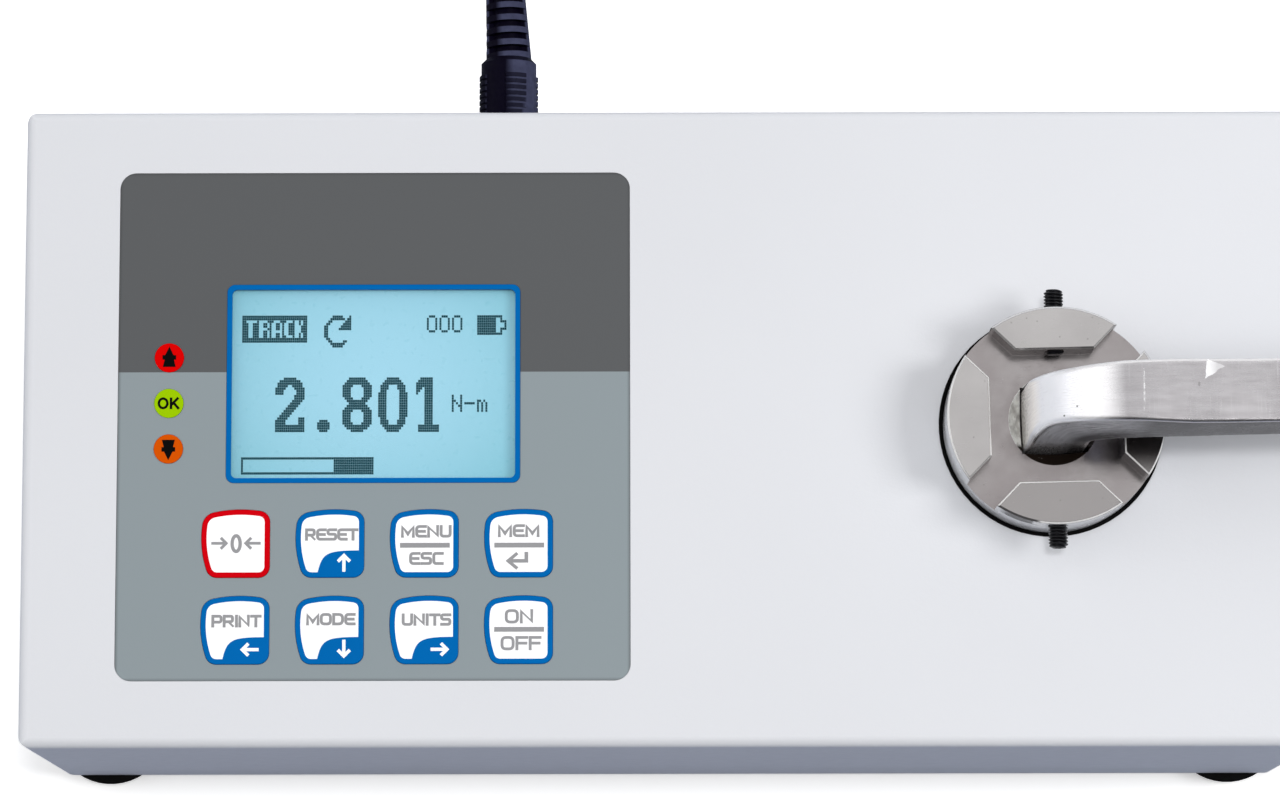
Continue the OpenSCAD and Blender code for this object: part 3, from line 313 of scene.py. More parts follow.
class Group(Nodes):
    """A shader node group with named inputs and one float output."""

    def __init__(self, name, output, **inputs):
        super().__init__(bpy.data.node_groups.new(name, "ShaderNodeTree"))
        face = self.tree.interface
        for title, value in {"Vector": None, **inputs}.items():
            kind = "NodeSocketFloat" if isinstance(value, float) else "NodeSocketVector"
            socket = face.new_socket(title, in_out="INPUT", socket_type=kind)
            if value is not None:
                socket.default_value = value
        face.new_socket(output, in_out="OUTPUT", socket_type="NodeSocketFloat")
        self.ins = self.add("NodeGroupInput").outputs

    def made(self, result):
        self.put(self.add("NodeGroupOutput").inputs[0], result)
        return self.tree


def grain_group():
    """Noise between two values, for colour, roughness or bump."""
    g = Group("grain", "Value", Scale=1000.0, Detail=3.0, Low=0.0, High=1.0)
    ins = {key: g.ins[key] for key in ("Vector", "Scale", "Detail")}
    return g.made(g.wire("ShaderNodeTexNoise", "Fac", **ins).ramp(0.3, 0.7, g.ins["Low"], g.ins["High"]))


def scratch_group():
    """Mask of thin lines that run along one axis of the stretched vector."""
    g = Group("scratches", "Mask", Stretch=(1.0, 1.0, 1.0), Scale=100.0, Share=0.6)
    stretched = g.vector_math("MULTIPLY", g.ins["Vector"], g.ins["Stretch"])
    lines = g.wire("ShaderNodeTexNoise", "Fac", Vector=stretched, Scale=g.ins["Scale"], Detail=4.0)
    return g.made(lines.ramp(g.ins["Share"], 0.8))


def speck_group():
    """Mask of small round specks, dense or rare."""
    g = Group("specks", "Mask", Scale=100.0, Size=0.1)
    cells = g.wire("ShaderNodeTexVoronoi", "Distance", Vector=g.ins["Vector"], Scale=g.ins["Scale"])
    return g.made(cells < g.ins["Size"])


GROUP_MAKERS = {"grain": grain_group, "scratches": scratch_group, "specks": speck_group}
GROUPS = {}


class Shader(Nodes):
    """A material under construction; its masks are in metres on the piece."""

    def __init__(self, name, color, rough, metal=0.0, coat=0.0, specular=0.5):
        self.mat = bpy.data.materials.new(name)
        self.mat.use_nodes = True
        super().__init__(self.mat.node_tree)
        self.bsdf = self.tree.nodes["Principled BSDF"]
        self.set("Base Color", (*color[:3], 1.0))
        self.set("Roughness", rough)
        self.set("Metallic", metal)
        self.set("Coat Weight", coat)
        self.set("Specular IOR Level", specular)
        self.coords = self.wire("ShaderNodeTexCoord", "Object")

    def set(self, socket, value):
        """Feeds a value or another node's output to the Principled BSDF."""
        self.put(self.bsdf.inputs[socket], value)

    def use(self, name, **values):
        """Output of one of the shared node groups."""
        if name not in GROUPS:
            GROUPS[name] = GROUP_MAKERS[name]()
        n = self.add("ShaderNodeGroup")
        n.node_tree = GROUPS[name]
        for key, value in {"Vector": self.coords, **values}.items():
            self.put(n.inputs[key], value)
        return Wire(self, n.outputs[0])

    def grain(self, scale, low=0.0, high=1.0, detail=3.0):
        return self.use("grain", Scale=scale, Low=low, High=high, Detail=detail)

    def facing(self, axis):
        """How far the surface itself looks along an axis: 0 for x, 1 for y, 2 for z."""
        return self.axes(self.wire("ShaderNodeNewGeometry", "Normal"))[axis]

    def bump(self, height, strength, distance):
        bumps = {"Strength": strength, "Distance": distance, "Height": height}
        self.set("Normal", self.wire("ShaderNodeBump", "Normal", **bumps))


def tone(color, factor):
    return tuple(min(1.0, c * factor) for c in color[:3])


def plain_finish(name, color, rough, metal=0.0, scale=900.0, spread=0.12, bump=0.15, coat=0.0, specular=0.5):
    """A finish with fine grain in its colour, roughness and height."""
    s = Shader(name, color, rough, metal, coat, specular)
    blot = s.grain(scale / 12, detail=2.0)
    s.set("Base Color", s.mix(blot, tone(color, 1 - spread), tone(color, 1 + spread)))
    s.set("Roughness", s.grain(scale, max(0.02, rough - 0.08), min(1.0, rough + 0.08)))
    s.bump(s.grain(scale * 2, detail=2.0), bump, 0.00005)
    return s.mat


def print_finish(name, color, spread=0.03):
    """Matt printed ink that hardly mirrors the lights."""
    return plain_finish(name, color, 0.4, spread=spread, bump=0.04, specular=0.02)


def paint_finish(color):
    """Powder coat with a fine peel and a few specks of dirt."""
    s = Shader("powder_coat", color, 0.42, specular=0.18)
    base = s.mix(s.grain(14.0, detail=4.0), tone(color, 0.985), tone(color, 1.015))
    spots = s.use("specks", Scale=34.0, Size=0.012) * 0.55
    s.set("Base Color", s.mix(spots, base, (0.30, 0.30, 0.31)))
    s.set("Roughness", s.grain(500.0, 0.36, 0.48))
    peel, fine = s.grain(1100.0, detail=2.0), s.grain(3800.0, detail=2.0)
    s.bump(peel + fine * 0.5, 0.16, 0.00006)
    return s.mat


def film_finish(panel, band):
    """Two printed greys, and painted shade as a darker line along the film's edge."""
    band_from = 0.0085
    s = Shader("panel_film", panel, 0.34, specular=0.2)
    x, y, _ = s.axes(s.coords)
    low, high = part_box("keypad_overlay")
    edge_x = least(x - low.x, high.x - x)
    edge_y = least(y - low.y, high.y - y)
    # Painted shade: a darker line all round the film's edge
    line = least(edge_x, edge_y).ramp(0.00005, 0.0005, 0.45, 0.0)
    s.set("Base Color", s.mix(line, s.mix(y > band_from, panel, band), tone(band, 0.6)))
    s.set("Roughness", s.grain(2500.0, 0.30, 0.40))
    s.bump(s.grain(2600.0, detail=1.0), 0.05, 0.00003)
    return s.mat


def display_finish(color):
    """Lit glass, brightest near its middle."""
    glow_wide, glow_high, glow_up = 0.024, 0.019, 0.001
    s = Shader("lit_display", color, 0.3)
    x, y, _ = s.axes(s.coords)
    centre = middle("lcd_glass") * MM
    dx = (x - centre.x) * (1 / glow_wide)
    dy = (y - (centre.y + glow_up)) * (1 / glow_high)
    bright = (color[0] * 0.95, color[1] * 0.88, color[2] * 0.88)
    dull = (color[0] * 0.55, color[1] * 0.69, color[2] * 0.67)
    glow = s.mix((dx * dx + dy * dy).ramp(0.0, 1.6), bright, dull)
    s.set("Base Color", glow)
    s.set("Emission Color", glow)
    s.set("Emission Strength", 0.2)
    s.set("Roughness", s.grain(900.0, 0.26, 0.34))
    return s.mat


def pane_finish():
    """Clear plastic that barely tints the display."""
    s = Shader("clear_pane", (0.5, 0.75, 0.85), 0.06, specular=0.1)
    s.set("Alpha", 0.015)
    s.set("Roughness", s.grain(300.0, 0.04, 0.09))
    return s.mat


# Where the chuck's masks begin and end, in metres: the heights of its channels' floor, of its
# jaws and of their chamfers, and the radii of its rim, its outer wall and its countersink
FLOOR_Z = (0.0719, 0.0722)
JAW_Z = (0.0765, 0.0770)
CHAMFER_Z = (0.0771, 0.0773)
RIM_R = (0.0160, 0.0163)
WALL_R = (0.0164, 0.0166)
SINK_R = (0.00702, 0.00698)


def chuck_finish():
    """Turned and polished steel with stains round the socket and fine marks, and painted shade, shadows,
    highlights and reflections.
    """
    color = (0.455, 0.44, 0.432)
    s = Shader("chuck_steel", color, 0.2, 1.0, specular=0.1)
    x, y, z = s.axes(s.coords)
    r = s.far(x, y)
    steel = s.mix(s.grain(160.0, detail=5.0), tone(color, 0.93), tone(color, 1.04))

    # Stains near the socket, painted shade on the recessed channels' floor, painted shade on the jaws' walls
    smear = r.ramp(0.0105, 0.0065) * s.grain(300.0, -0.25, 1.1, 6.0)
    steel = s.mix(least(most(smear, 0.0), 0.8), steel, (0.16, 0.15, 0.14))
    # Painted shade on the recessed channels' floor, mottled
    channel_shade = z.ramp(*reversed(FLOOR_Z)) * s.grain(150.0, 0.55, 1.0, 5.0)
    steel = s.mix(channel_shade, steel, (0.29, 0.263, 0.262))
    # Painted shade on the jaws' walls, darkest under the lever's arm
    jaw_wall_shade = z.ramp(*FLOOR_Z) * z.ramp(*reversed(CHAMFER_Z)) * r.ramp(*reversed(RIM_R))
    jaw_wall_shade_color = s.mix(x.ramp(0.0070, 0.0090), (0.09, 0.07, 0.065), (0.045, 0.035, 0.034))
    steel = s.mix(jaw_wall_shade, steel, jaw_wall_shade_color)

    # Painted shadow of the lever's arm on the floor, painted reflection of the arm on the right jaw, and the
    # front jaw's top painted darker
    shaded = x.ramp(0.0050, 0.0085) * y.ramp(-0.0020, -0.0035)
    steel = s.mix(shaded * y.ramp(-0.0095, -0.0060, 0.0, 0.62), steel, (0.10, 0.09, 0.088))
    right_jaw = x.ramp(0.0085, 0.0095) * z.ramp(*JAW_Z) * y.ramp(0.0, -0.002)
    steel = s.mix(right_jaw * y.ramp(-0.0100, -0.0058, 0.4, 0.85), steel, (0.015, 0.012, 0.012))
    front_jaw = y.ramp(-0.0090, -0.0102) * z.ramp(*JAW_Z)
    steel = s.mix(front_jaw * 0.8, steel, (0.30, 0.284, 0.28))

    # Painted highlights on the chamfers round the jaws, where they face the light
    chamfer_highlight = z.ramp(0.07721, 0.07725) * s.facing(2).ramp(0.98, 0.9) * z.ramp(0.07748, 0.07745)
    right = x.ramp(-0.0034, -0.0026) * y.ramp(0.0, -0.002)
    chamfer_highlight = chamfer_highlight * most(s.facing(1).ramp(-0.6, -0.3), right)
    behind = r.ramp(*RIM_R) * y.ramp(0.004, 0.008)
    steel = s.mix(chamfer_highlight, steel, s.mix(behind, (0.74, 0.73, 0.72), (0.60, 0.60, 0.60)))

    # The countersink, with a painted highlight on its left and, in front, painted black for the lever's
    # shadow and dark reflection
    sink = r.ramp(*SINK_R) * z.ramp(0.0694, 0.0697)
    sink_highlight = s.math("MULTIPLY", sink * x.ramp(-0.0036, -0.0048), s.grain(600.0, 0.45, 1.15, 4.0), True)
    # Painted black: shadow and dark reflection of the lever in the countersink's front
    black = sink * y.ramp(-0.0036, -0.0042)
    steel = s.mix(sink_highlight, steel, (0.80, 0.81, 0.785))
    steel = s.mix(black, steel, (0.012, 0.008, 0.006))

    # The outer wall, pale with a painted reflection of the cover in front, and a painted black reflection
    # and a painted glint below the front jaw
    outer_wall_reflection = r.ramp(*WALL_R) * s.facing(2).ramp(0.3, 0.1) * y.ramp(0.004, -0.002)
    steel = s.mix(outer_wall_reflection, steel, (0.80, 0.81, 0.84))
    dark_reflection = x.ramp(-0.0089, -0.0076) * x.ramp(-0.0028, -0.0038) * outer_wall_reflection * z.ramp(0.0733, 0.0741)
    glint = x.ramp(-0.0040, -0.0036) * x.ramp(-0.0018, -0.0024) * outer_wall_reflection * z.ramp(0.0738, 0.0746)
    steel = s.mix(dark_reflection, steel, (0.006, 0.006, 0.008))
    steel = s.mix(glint, steel, (0.98, 0.98, 0.98))

    s.set("Base Color", s.mix(s.use("specks", Scale=520.0, Size=0.07) * 0.4, steel, (0.2, 0.19, 0.18)))
    matt = most(dark_reflection, glint, outer_wall_reflection * 0.6, jaw_wall_shade * 0.85, chamfer_highlight, sink_highlight, black)
    s.set("Metallic", s.math("SUBTRACT", 1.0, matt, True))
    lines = s.use("scratches", Stretch=(1.0, 6.0, 1.0), Scale=650.0, Share=0.55)
    s.set("Roughness", lines * 0.12 + s.grain(240.0, 0.13, 0.24))
    s.bump(lines, 0.05, 0.00004)
    return s.mat


# Small dark marks on the lever's bend
MARKS = ((-0.0002, -0.0022), (0.0016, -0.0010), (0.0003, -0.0041))


def lever_finish():
    """Worn bright bar with painted highlights on its bend: lines along it, cross marks, a scribed line and a
    nick.
    """
    color = (0.51, 0.493, 0.504)
    s = Shader("lever_metal", color, 0.3, 1.0, specular=0.1)
    run = s.add("ShaderNodeUVMap")
    run.uv_map = "run"
    x, y, z = s.axes(s.coords)
    s.coords = run.outputs["UV"]
    _, around, _ = s.axes(s.coords)

    # Wear along the bar and across it
    long_lines = s.use("scratches", Stretch=(1.0, 26.0, 1.0), Scale=75.0, Share=0.42)
    fine_lines = s.use("scratches", Stretch=(1.0, 34.0, 1.0), Scale=420.0, Share=0.45)
    cross = s.use("scratches", Stretch=(16.0, 1.0, 1.0), Scale=260.0, Share=0.58)
    worn = s.use("scratches", Stretch=(1.0, 9.0, 1.0), Scale=230.0, Share=0.42)
    cloud = s.grain(130.0, detail=5.0)
    bar = s.mix(cloud, tone(color, 0.8), tone(color, 1.06))
    bar = s.mix(worn * 0.5, bar, (0.33, 0.312, 0.32))
    bar = s.mix(long_lines * 0.5, bar, (0.36, 0.342, 0.35))
    bar = s.mix(cross * 0.35, bar, (0.68, 0.67, 0.68))
    bar = s.mix(s.use("specks", Scale=260.0, Size=0.06) * 0.55, bar, (0.22, 0.21, 0.21))

    # Painted highlights on the bend, paler the more steeply it falls, and a painted sheen on the back edge
    bend_highlight = s.facing(0).ramp(-0.16, -0.42)
    steep_sheen = s.facing(0).ramp(-0.52, -0.74)
    bar = s.mix(bend_highlight, bar, (0.93, 0.92, 0.93))
    bar = s.mix(steep_sheen, bar, s.mix(cloud, (0.80, 0.81, 0.86), (0.93, 0.93, 0.95)))
    # Painted warm highlight where the bend falls steepest
    bar = s.mix(s.facing(0).ramp(-0.90, -0.96), bar, (1.0, 0.96, 0.92))
    # Painted sheen: the rounded back edge painted lighter
    back = around.ramp(0.0093, 0.0104) * around.ramp(0.0150, 0.0140)
    back = back * z.ramp(0.090, 0.093) * s.facing(0).ramp(0.6, 0.4)
    bar = s.mix(back, bar, (0.72, 0.71, 0.72))
    for mark_x, mark_y in MARKS:
        mark = s.far(x - mark_x, y - mark_y).ramp(0.00016, 0.00008) * (z > 0.085)
        bar = s.mix(mark, bar, (0.02, 0.02, 0.02))

    # The front side painted darker, lighter and streaked where it bends
    side = around.ramp(0.0325, 0.0338)
    curve = x.ramp(0.0130, 0.0030) * x.ramp(-0.0060, 0.0005, 0.5, 1.0) * around.ramp(0.0346, 0.0362)
    streaks = s.use("scratches", Stretch=(1.0, 12.0, 1.0), Scale=300.0, Share=0.3)
    streaked_bend = s.mix(streaks, (0.50, 0.495, 0.51), (0.95, 0.94, 0.97))
    bar = s.mix(side * 0.92, bar, s.mix(curve, (0.05, 0.047, 0.05), streaked_bend))
    matt = most(bend_highlight * 0.5, side * (0.95 - curve * 0.6), most(steep_sheen * (1.0 - side), back) * 0.9)
    s.set("Metallic", 1.0 - matt)

    # A faint scribed line where the bend ends, and a bright ragged nick
    up = z > 0.0955
    scribe = (abs(x - 0.0113) < 0.00012) * (abs(y - 0.001) < 0.0032) * up
    ragged = s.grain(900.0, -0.00014, 0.00014)
    x, y = x + ragged, y - ragged
    nick = (x - y * 0.185 > 0.01976) * (y - x * 0.60 > -0.00945) * (y + x * 0.40 < 0.01385) * up
    nick = nick * x.ramp(0.0210, 0.0222, 1.0, 0.4)
    bright = most(scribe * s.grain(2500.0, -0.2, 0.9), nick)
    s.set("Base Color", s.mix(bright, bar, (0.98, 0.98, 0.99)))
    s.set("Roughness", fine_lines * 0.16 + cloud * 0.12 + 0.2 + bright * 0.4)
    s.bump(fine_lines * -0.6 + long_lines * -0.5 + cross * -0.4, 0.22, 0.00005)
    return s.mat


def board_finish():
    """Green circuit board with lighter tracks and round pads."""
    s = Shader("circuit_board", (0.02, 0.16, 0.07), 0.4)
    tracks = {
        "Color1": (0.02, 0.17, 0.075, 1),
        "Color2": (0.03, 0.22, 0.10, 1),
        "Mortar": (0.012, 0.10, 0.045, 1),
    }
    n = s.add("ShaderNodeTexBrick", Vector=s.coords, Scale=160.0, **tracks)
    pads = s.use("specks", Scale=330.0, Size=0.16)
    s.set("Base Color", s.mix(pads, Wire(s, n.outputs["Color"]), (0.62, 0.60, 0.52)))
    s.set("Roughness", s.grain(700.0, 0.32, 0.5))
    s.bump(n.outputs["Fac"], 0.2, 0.00005)
    return s.mat


def ribbon_finish():
    """Grey ribbon whose wires lie side by side."""
    wire_pitch = 0.00127
    s = Shader("ribbon", (0.40, 0.42, 0.44), 0.5)
    wave = s.math("SINE", s.axes(s.coords)[1] * (math.tau / wire_pitch))
    s.set("Base Color", s.mix(wave.ramp(-1.0, 1.0), (0.30, 0.32, 0.34), (0.46, 0.48, 0.50)))
    s.set("Roughness", s.grain(900.0, 0.42, 0.58))
    s.bump(wave, 0.6, 0.0002)
    return s.mat


def rubber_finish(name, color, rough=0.62):
    """Dusty matt rubber or soft plastic."""
    s = Shader(name, color, rough, specular=0.04)
    dusty = tuple(c * 1.3 + 0.002 for c in color)
    s.set("Base Color", s.mix(s.grain(260.0, 0.0, 0.35, 5.0), tone(color, 0.7), dusty))
    s.set("Roughness", s.grain(1400.0, rough - 0.1, rough + 0.12))
    s.bump(s.grain(3000.0), 0.2, 0.00006)
    return s.mat


# The strain relief in millimetres: its radius at the plug, what it loses and how far it
# leans for each millimetre, and the radius where the ribs of the plug's grip begin
RELIEF_R = 3.7
RELIEF_TAPER = 0.047
RELIEF_LEAN = 0.0524
RIBS_FROM = 4.5


def moulding_finish():
    """Blue-black plastic of the plug, with painted light on its right side and painted shade in its slots
    and on its ribs.
    """
    s = Shader("moulded_plug", (0.002, 0.0018, 0.004), 0.5, specular=0.04)
    x, y, z = s.axes(s.coords)
    axis = middle("power_plug") * MM
    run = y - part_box("plug_relief")[0].y
    r = s.far(x - axis.x + run * RELIEF_LEAN, z - axis.z)
    depth = RELIEF_R * MM - run * RELIEF_TAPER - r
    slot = depth.ramp(0.0003, 0.0005) * run.ramp(0.0, 0.0002)
    grip = run.ramp(0.0, -0.0001)
    ribs = grip * r.ramp(RIBS_FROM * MM, (RIBS_FROM + 0.05) * MM)
    # Painted light on the side facing right; painted shade in the slots, on the ribs and on faces along the
    # plug's axis
    lit = (s.facing(0) - grip * 0.4).ramp(-0.5, -0.2) * (1.0 - ribs * 0.8) * (1.0 - slot)
    lit = lit * abs(s.facing(1)).ramp(0.75, 0.35) * s.grain(900.0, 0.75, 1.0)
    s.set("Base Color", s.mix(lit, (0.0015, 0.0008, 0.006), (0.050, 0.054, 0.10)))
    s.set("Roughness", s.grain(1400.0, 0.4, 0.62))
    s.bump(s.grain(3000.0), 0.2, 0.00006)
    return s.mat


# Each plain finish: its maker, then the material's name, colour, roughness and the rest
PLAIN = {
    "white": (print_finish, "white_print", (0.97, 0.97, 0.98), 0.01),
    "black": (print_finish, "black_print", (0.003, 0.003, 0.003)),
    "lens_red": (print_finish, "lens_red", (0.66, 0.0, 0.0)),
    "lens_green": (print_finish, "lens_green", (0.30, 0.52, 0.0)),
    "lens_orange": (print_finish, "lens_orange", (0.62, 0.08, 0.0)),
    "rubber": (rubber_finish, "foot_rubber", (0.006, 0.006, 0.006)),
    "seal": (rubber_finish, "seal_rubber", (0.002, 0.002, 0.002), 0.5),
    "cord": (rubber_finish, "cord_plastic", (0.002, 0.0018, 0.004), 0.5),
    "black_plastic": (rubber_finish, "black_plastic", (0.012, 0.012, 0.014), 0.45),
    "oxide": (plain_finish, "black_oxide", (0.005, 0.005, 0.007), 0.34, 0.4, 900.0, 0.3),
    "zinc": (plain_finish, "zinc_plate", (0.62, 0.63, 0.64), 0.3, 1.0, 900.0, 0.1),
    "sheet": (plain_finish, "plate_steel", (0.55, 0.56, 0.58), 0.38, 1.0, 700.0, 0.08),
    "machined": (plain_finish, "machined_aluminium", (0.66, 0.67, 0.68), 0.32, 1.0, 1500.0, 0.06),
    "brass": (plain_finish, "brass", (0.62, 0.46, 0.18), 0.3, 1.0, 900.0, 0.1),
    "foil": (plain_finish, "gauge_foil", (0.60, 0.32, 0.12), 0.35, 0.8, 900.0, 0.15),
    "wrap": (plain_finish, "battery_wrap", (0.03, 0.10, 0.38), 0.25, 0.0, 900.0, 0.08, 0.15, 0.3),
    "ivory": (plain_finish, "ivory_plastic", (0.74, 0.72, 0.66), 0.4, 0.0, 900.0, 0.05),
    "clear": (plain_finish, "lamp_resin", (0.72, 0.76, 0.78), 0.12, 0.0, 900.0, 0.05, 0.15, 0.4),
    "nickel": (plain_finish, "nickel", (0.70, 0.69, 0.66), 0.16, 1.0, 900.0, 0.05),
    "pane": (pane_finish,),
    "chuck": (chuck_finish,),
    "lever": (lever_finish,),
    "board": (board_finish,),
    "ribbon": (ribbon_finish,),
    "moulding": (moulding_finish,),
}
MADE = {}


def finish(name):
    """The material of that name, made at its first use."""
    if name not in MADE:
        look = bpy.context.scene.torque_meter_look
        chosen = {
            "paint": (paint_finish, look.paint),
            "film": (film_finish, look.panel, look.band),
            "display": (display_finish, look.backlight),
            "blue": (print_finish, "blue_print", look.blue),
            "red": (print_finish, "red_print", look.red),
            "legend": (print_finish, "grey_print", look.legend),
            "ink": (print_finish, "display_ink", look.ink),
            **PLAIN,
        }
        make, *values = chosen[name]
        MADE[name] = make(*values)
    return MADE[name]


def dress(name, *nodes):
    """Gives CAD nodes a finish in place of their plain colour."""
    for n in nodes:
        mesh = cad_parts[n].data
        mesh.materials.clear()
        mesh.materials.append(finish(name))


# Shapes


def new_object(name, data):
    obj = bpy.data.objects.new(name, data)
    bpy.context.scene.collection.objects.link(obj)
    return obj


def piece(name, points, faces, finishes, smooth=False, slots=None):
    """Mesh object from points in millimetres, with one finish or several."""
    mesh = bpy.data.meshes.new(name)
    mesh.from_pydata([(p[0] * MM, p[1] * MM, p[2] * MM) for p in points], [], faces)
    for f in finishes:
        mesh.materials.append(finish(f))
    if slots:
        mesh.polygons.foreach_set("material_index", slots)
    mesh.polygons.foreach_set("use_smooth", [smooth] * len(mesh.polygons))
    mesh.validate()
    mesh.update()
    return new_object(name, mesh)


def stand_in(obj, body, node):
    """Lets a piece ride on a body in place of its CAD node."""
    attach(obj, body)
    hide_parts(node)


def outward(obj):
    """Turns a closed mesh's faces outwards."""
    bm = bmesh.new()
    bm.from_mesh(obj.data)
    bmesh.ops.recalc_face_normals(bm, faces=bm.faces)
    bm.to_mesh(obj.data)
    bm.free()
    obj.data.update()


def turned(x, y, angle):
    """A point turned about the origin, by an angle in radians."""
    return x * math.cos(angle) - y * math.sin(angle), x * math.sin(angle) + y * math.cos(angle)


def arc(cx, cy, r, a0, a1, n):
    """Points on a circle's arc, angles in degrees."""
    steps = [math.radians(a0 + (a1 - a0) * i / n) for i in range(n + 1)]
    return [(cx + r * math.cos(a), cy + r * math.sin(a)) for a in steps]


def rounded(points, r, closed=False, n=5):
    """Rounds a polyline's corners with arcs as wide as r where there is room."""
    if r <= 0:
        return list(points)
    made = []
    count = len(points)
    for i, p in enumerate(points):
        if not closed and i in (0, count - 1):
            made.append(p)
            continue
        p = Vector(p)
        a, b = Vector(points[i - 1]), Vector(points[(i + 1) % count])
        cut = min(r, (a - p).length / 2, (b - p).length / 2)
        start = p + (a - p).normalized() * cut
        end = p + (b - p).normalized() * cut
        for k in range(n + 1):
            t = k / n
            q = start * (1 - t) ** 2 + p * 2 * t * (1 - t) + end * t * t
            made.append((q.x, q.y))
    return made


def ring_path(cx, cy, rx, ry, n=24):
    steps = [math.tau * i / n for i in range(n)]
    return [(cx + rx * math.cos(a), cy + ry * math.sin(a)) for a in steps]


# Each sign is its width and its strokes; a stroke is its corner rounding and its points.
# Heights run from 0 at the foot to 1 at the top of a capital.
SIGNS = {
    "R": (
        0.95,
        (0, (0, 0), (0, 1)),
        (0.2, (0, 1), (0.84, 1), (0.84, 0.44), (0, 0.44)),
        (0, (0.42, 0.44), (0.88, 0)),
    ),
    "E": (0.88, (0.3, (0.84, 1), (0, 1), (0, 0), (0.84, 0)), (0, (0.02, 0.5), (0.74, 0.5))),
    "S": (0.90, (0.2, (0.84, 1), (0, 1), (0, 0.53), (0.84, 0.53), (0.84, 0), (0, 0))),
    "T": (0.86, (0, (0, 1), (0.86, 1)), (0, (0.43, 1), (0.43, 0))),
    "M": (1.10, (0, (0, 0), (0, 1), (0.52, 0.22), (1.04, 1), (1.04, 0))),
    "N": (0.94, (0, (0, 0), (0, 1), (0.86, 0), (0.86, 1))),
    "U": (0.94, (0.26, (0, 1), (0, 0), (0.86, 0), (0.86, 1))),
    "C": (0.90, (0.26, (0.84, 1), (0, 1), (0, 0), (0.84, 0))),
    "P": (0.90, (0, (0, 0), (0, 1)), (0.22, (0, 1), (0.84, 1), (0.84, 0.4), (0, 0.4))),
    "I": (0.12, (0, (0.04, 0), (0.04, 1))),
    "O": (0.98, (0.34, (0, 0), (0.92, 0), (0.92, 1), (0, 1))),
    "D": (0.94, (0.4, (0, 0), (0.88, 0), (0.88, 1), (0, 1)), (0, (0, 0), (0, 1))),
    "F": (0.84, (0, (0, 0), (0, 1), (0.82, 1)), (0, (0, 0.5), (0.74, 0.5))),
}
CLOSED_SIGNS = "O"


def strokes_of(text, width, height, gap=0.26):
    """Strokes of a word centred on the origin, stretched to a width and a height."""
    total = sum(SIGNS[c][0] for c in text) + gap * (len(text) - 1)
    scale = width / total
    x = -width / 2
    made = []
    for c in text:
        wide, *strokes = SIGNS[c]
        closed = c in CLOSED_SIGNS
        for r, *points in strokes:
            path = rounded(points, r, closed)
            made.append(([(x + px * scale, (py - 0.5) * height) for px, py in path], closed))
        x += (wide + gap) * scale
    return made


def carried_on(path, more):
    """The polyline with both ends carried on by a short way."""
    a, b = Vector(path[0]), Vector(path[1])
    c, d = Vector(path[-2]), Vector(path[-1])
    return [a + (a - b).normalized() * more, *path[1:-1], d + (d - c).normalized() * more]


def ribbon(path, closed, width):
    """Flat band along a polyline: its points and quads."""
    n = len(path)
    points, faces = [], []
    for i in range(n):
        p = Vector(path[i])
        before = Vector(path[i - 1]) if i > 0 or closed else None
        after = Vector(path[(i + 1) % n]) if i < n - 1 or closed else None
        d0 = (p - before).normalized() if before else None
        d1 = (after - p).normalized() if after else None
        d0, d1 = d0 or d1, d1 or d0
        mid = (d0 + d1).normalized() if (d0 + d1).length > 1e-6 else d1
        side = Vector((-mid.y, mid.x))
        reach = width / 2 / max(0.45, side.dot(Vector((-d1.y, d1.x))))
        points += [p + side * reach, p - side * reach]
    for i in range(n if closed else n - 1):
        a, b = 2 * i, 2 * ((i + 1) % n)
        faces.append((a, a + 1, b + 1, b))
    return points, faces


class Print:
    """Flat marks of several finishes at one height, gathered into one mesh."""

    def __init__(self, at, z):
        self.at, self.z = at, z
        self.points, self.faces, self.slots, self.names = [], [], [], []

    def area(self, points, faces, name, raise_by=0.0):
        """Adds flat faces, each lot a hair above the one before it."""
        if name not in self.names:
            self.names.append(name)
        self.z += 0.002
        base = len(self.points)
        self.points += [(self.at[0] + p[0], self.at[1] + p[1], self.z + raise_by) for p in points]
        self.faces += [tuple(base + i for i in f) for f in faces]
        self.slots += [self.names.index(name)] * len(faces)

    def polygon(self, outline, name, raise_by=0.0):
        self.area(outline, [tuple(range(len(outline)))], name, raise_by)

    def line(self, path, width, name, closed=False, raise_by=0.0):
        self.area(*ribbon(path, closed, width), name, raise_by)

    def word(self, text, x, y, width, height, weight, name, raise_by=0.0):
        """A word whose strokes end square and keep inside each letter's box."""
        half = weight / 2
        for path, closed in strokes_of(text, width - weight, height - weight):
            low = Vector(map(min, *path)) - Vector((half, half))
            high = Vector(map(max, *path)) + Vector((half, half))
            if not closed:
                path = carried_on(path, half)
            points, faces = ribbon(path, closed, weight)
            kept = [(min(high.x, max(low.x, q.x)), min(high.y, max(low.y, q.y))) for q in points]
            self.area([(x + u, y + v) for u, v in kept], faces, name, raise_by)

    def made(self, title, body):
        obj = piece(title, self.points, self.faces, self.names, slots=self.slots)
        bm = bmesh.new()
        bm.from_mesh(obj.data)
        bmesh.ops.triangulate(bm, faces=bm.faces)
        for f in bm.faces:
            if f.normal.z < 0:
                f.normal_flip()
        bm.to_mesh(obj.data)
        bm.free()
        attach(obj, body)


def loft(rings):
    """Quads between closed rings of equal length, with flat caps."""
    n = len(rings[0])
    points = [p for r in rings for p in r]
    faces = []
    for i in range(0, len(points) - n, n):
        for j in range(n):
            k = (j + 1) % n
            faces.append((i + j, i + k, i + n + k, i + n + j))
    faces.append(tuple(range(n - 1, -1, -1)))
    faces.append(tuple(range(len(points) - n, len(points))))
    return points, faces


# Camera and cord


# The camera's place in metres, and how far it looks down, right and round in degrees
CAMERA_AT = (-0.06381, -0.10568, 0.82968)
CAMERA_TURNS = (81.876, 0.219, 0.112)


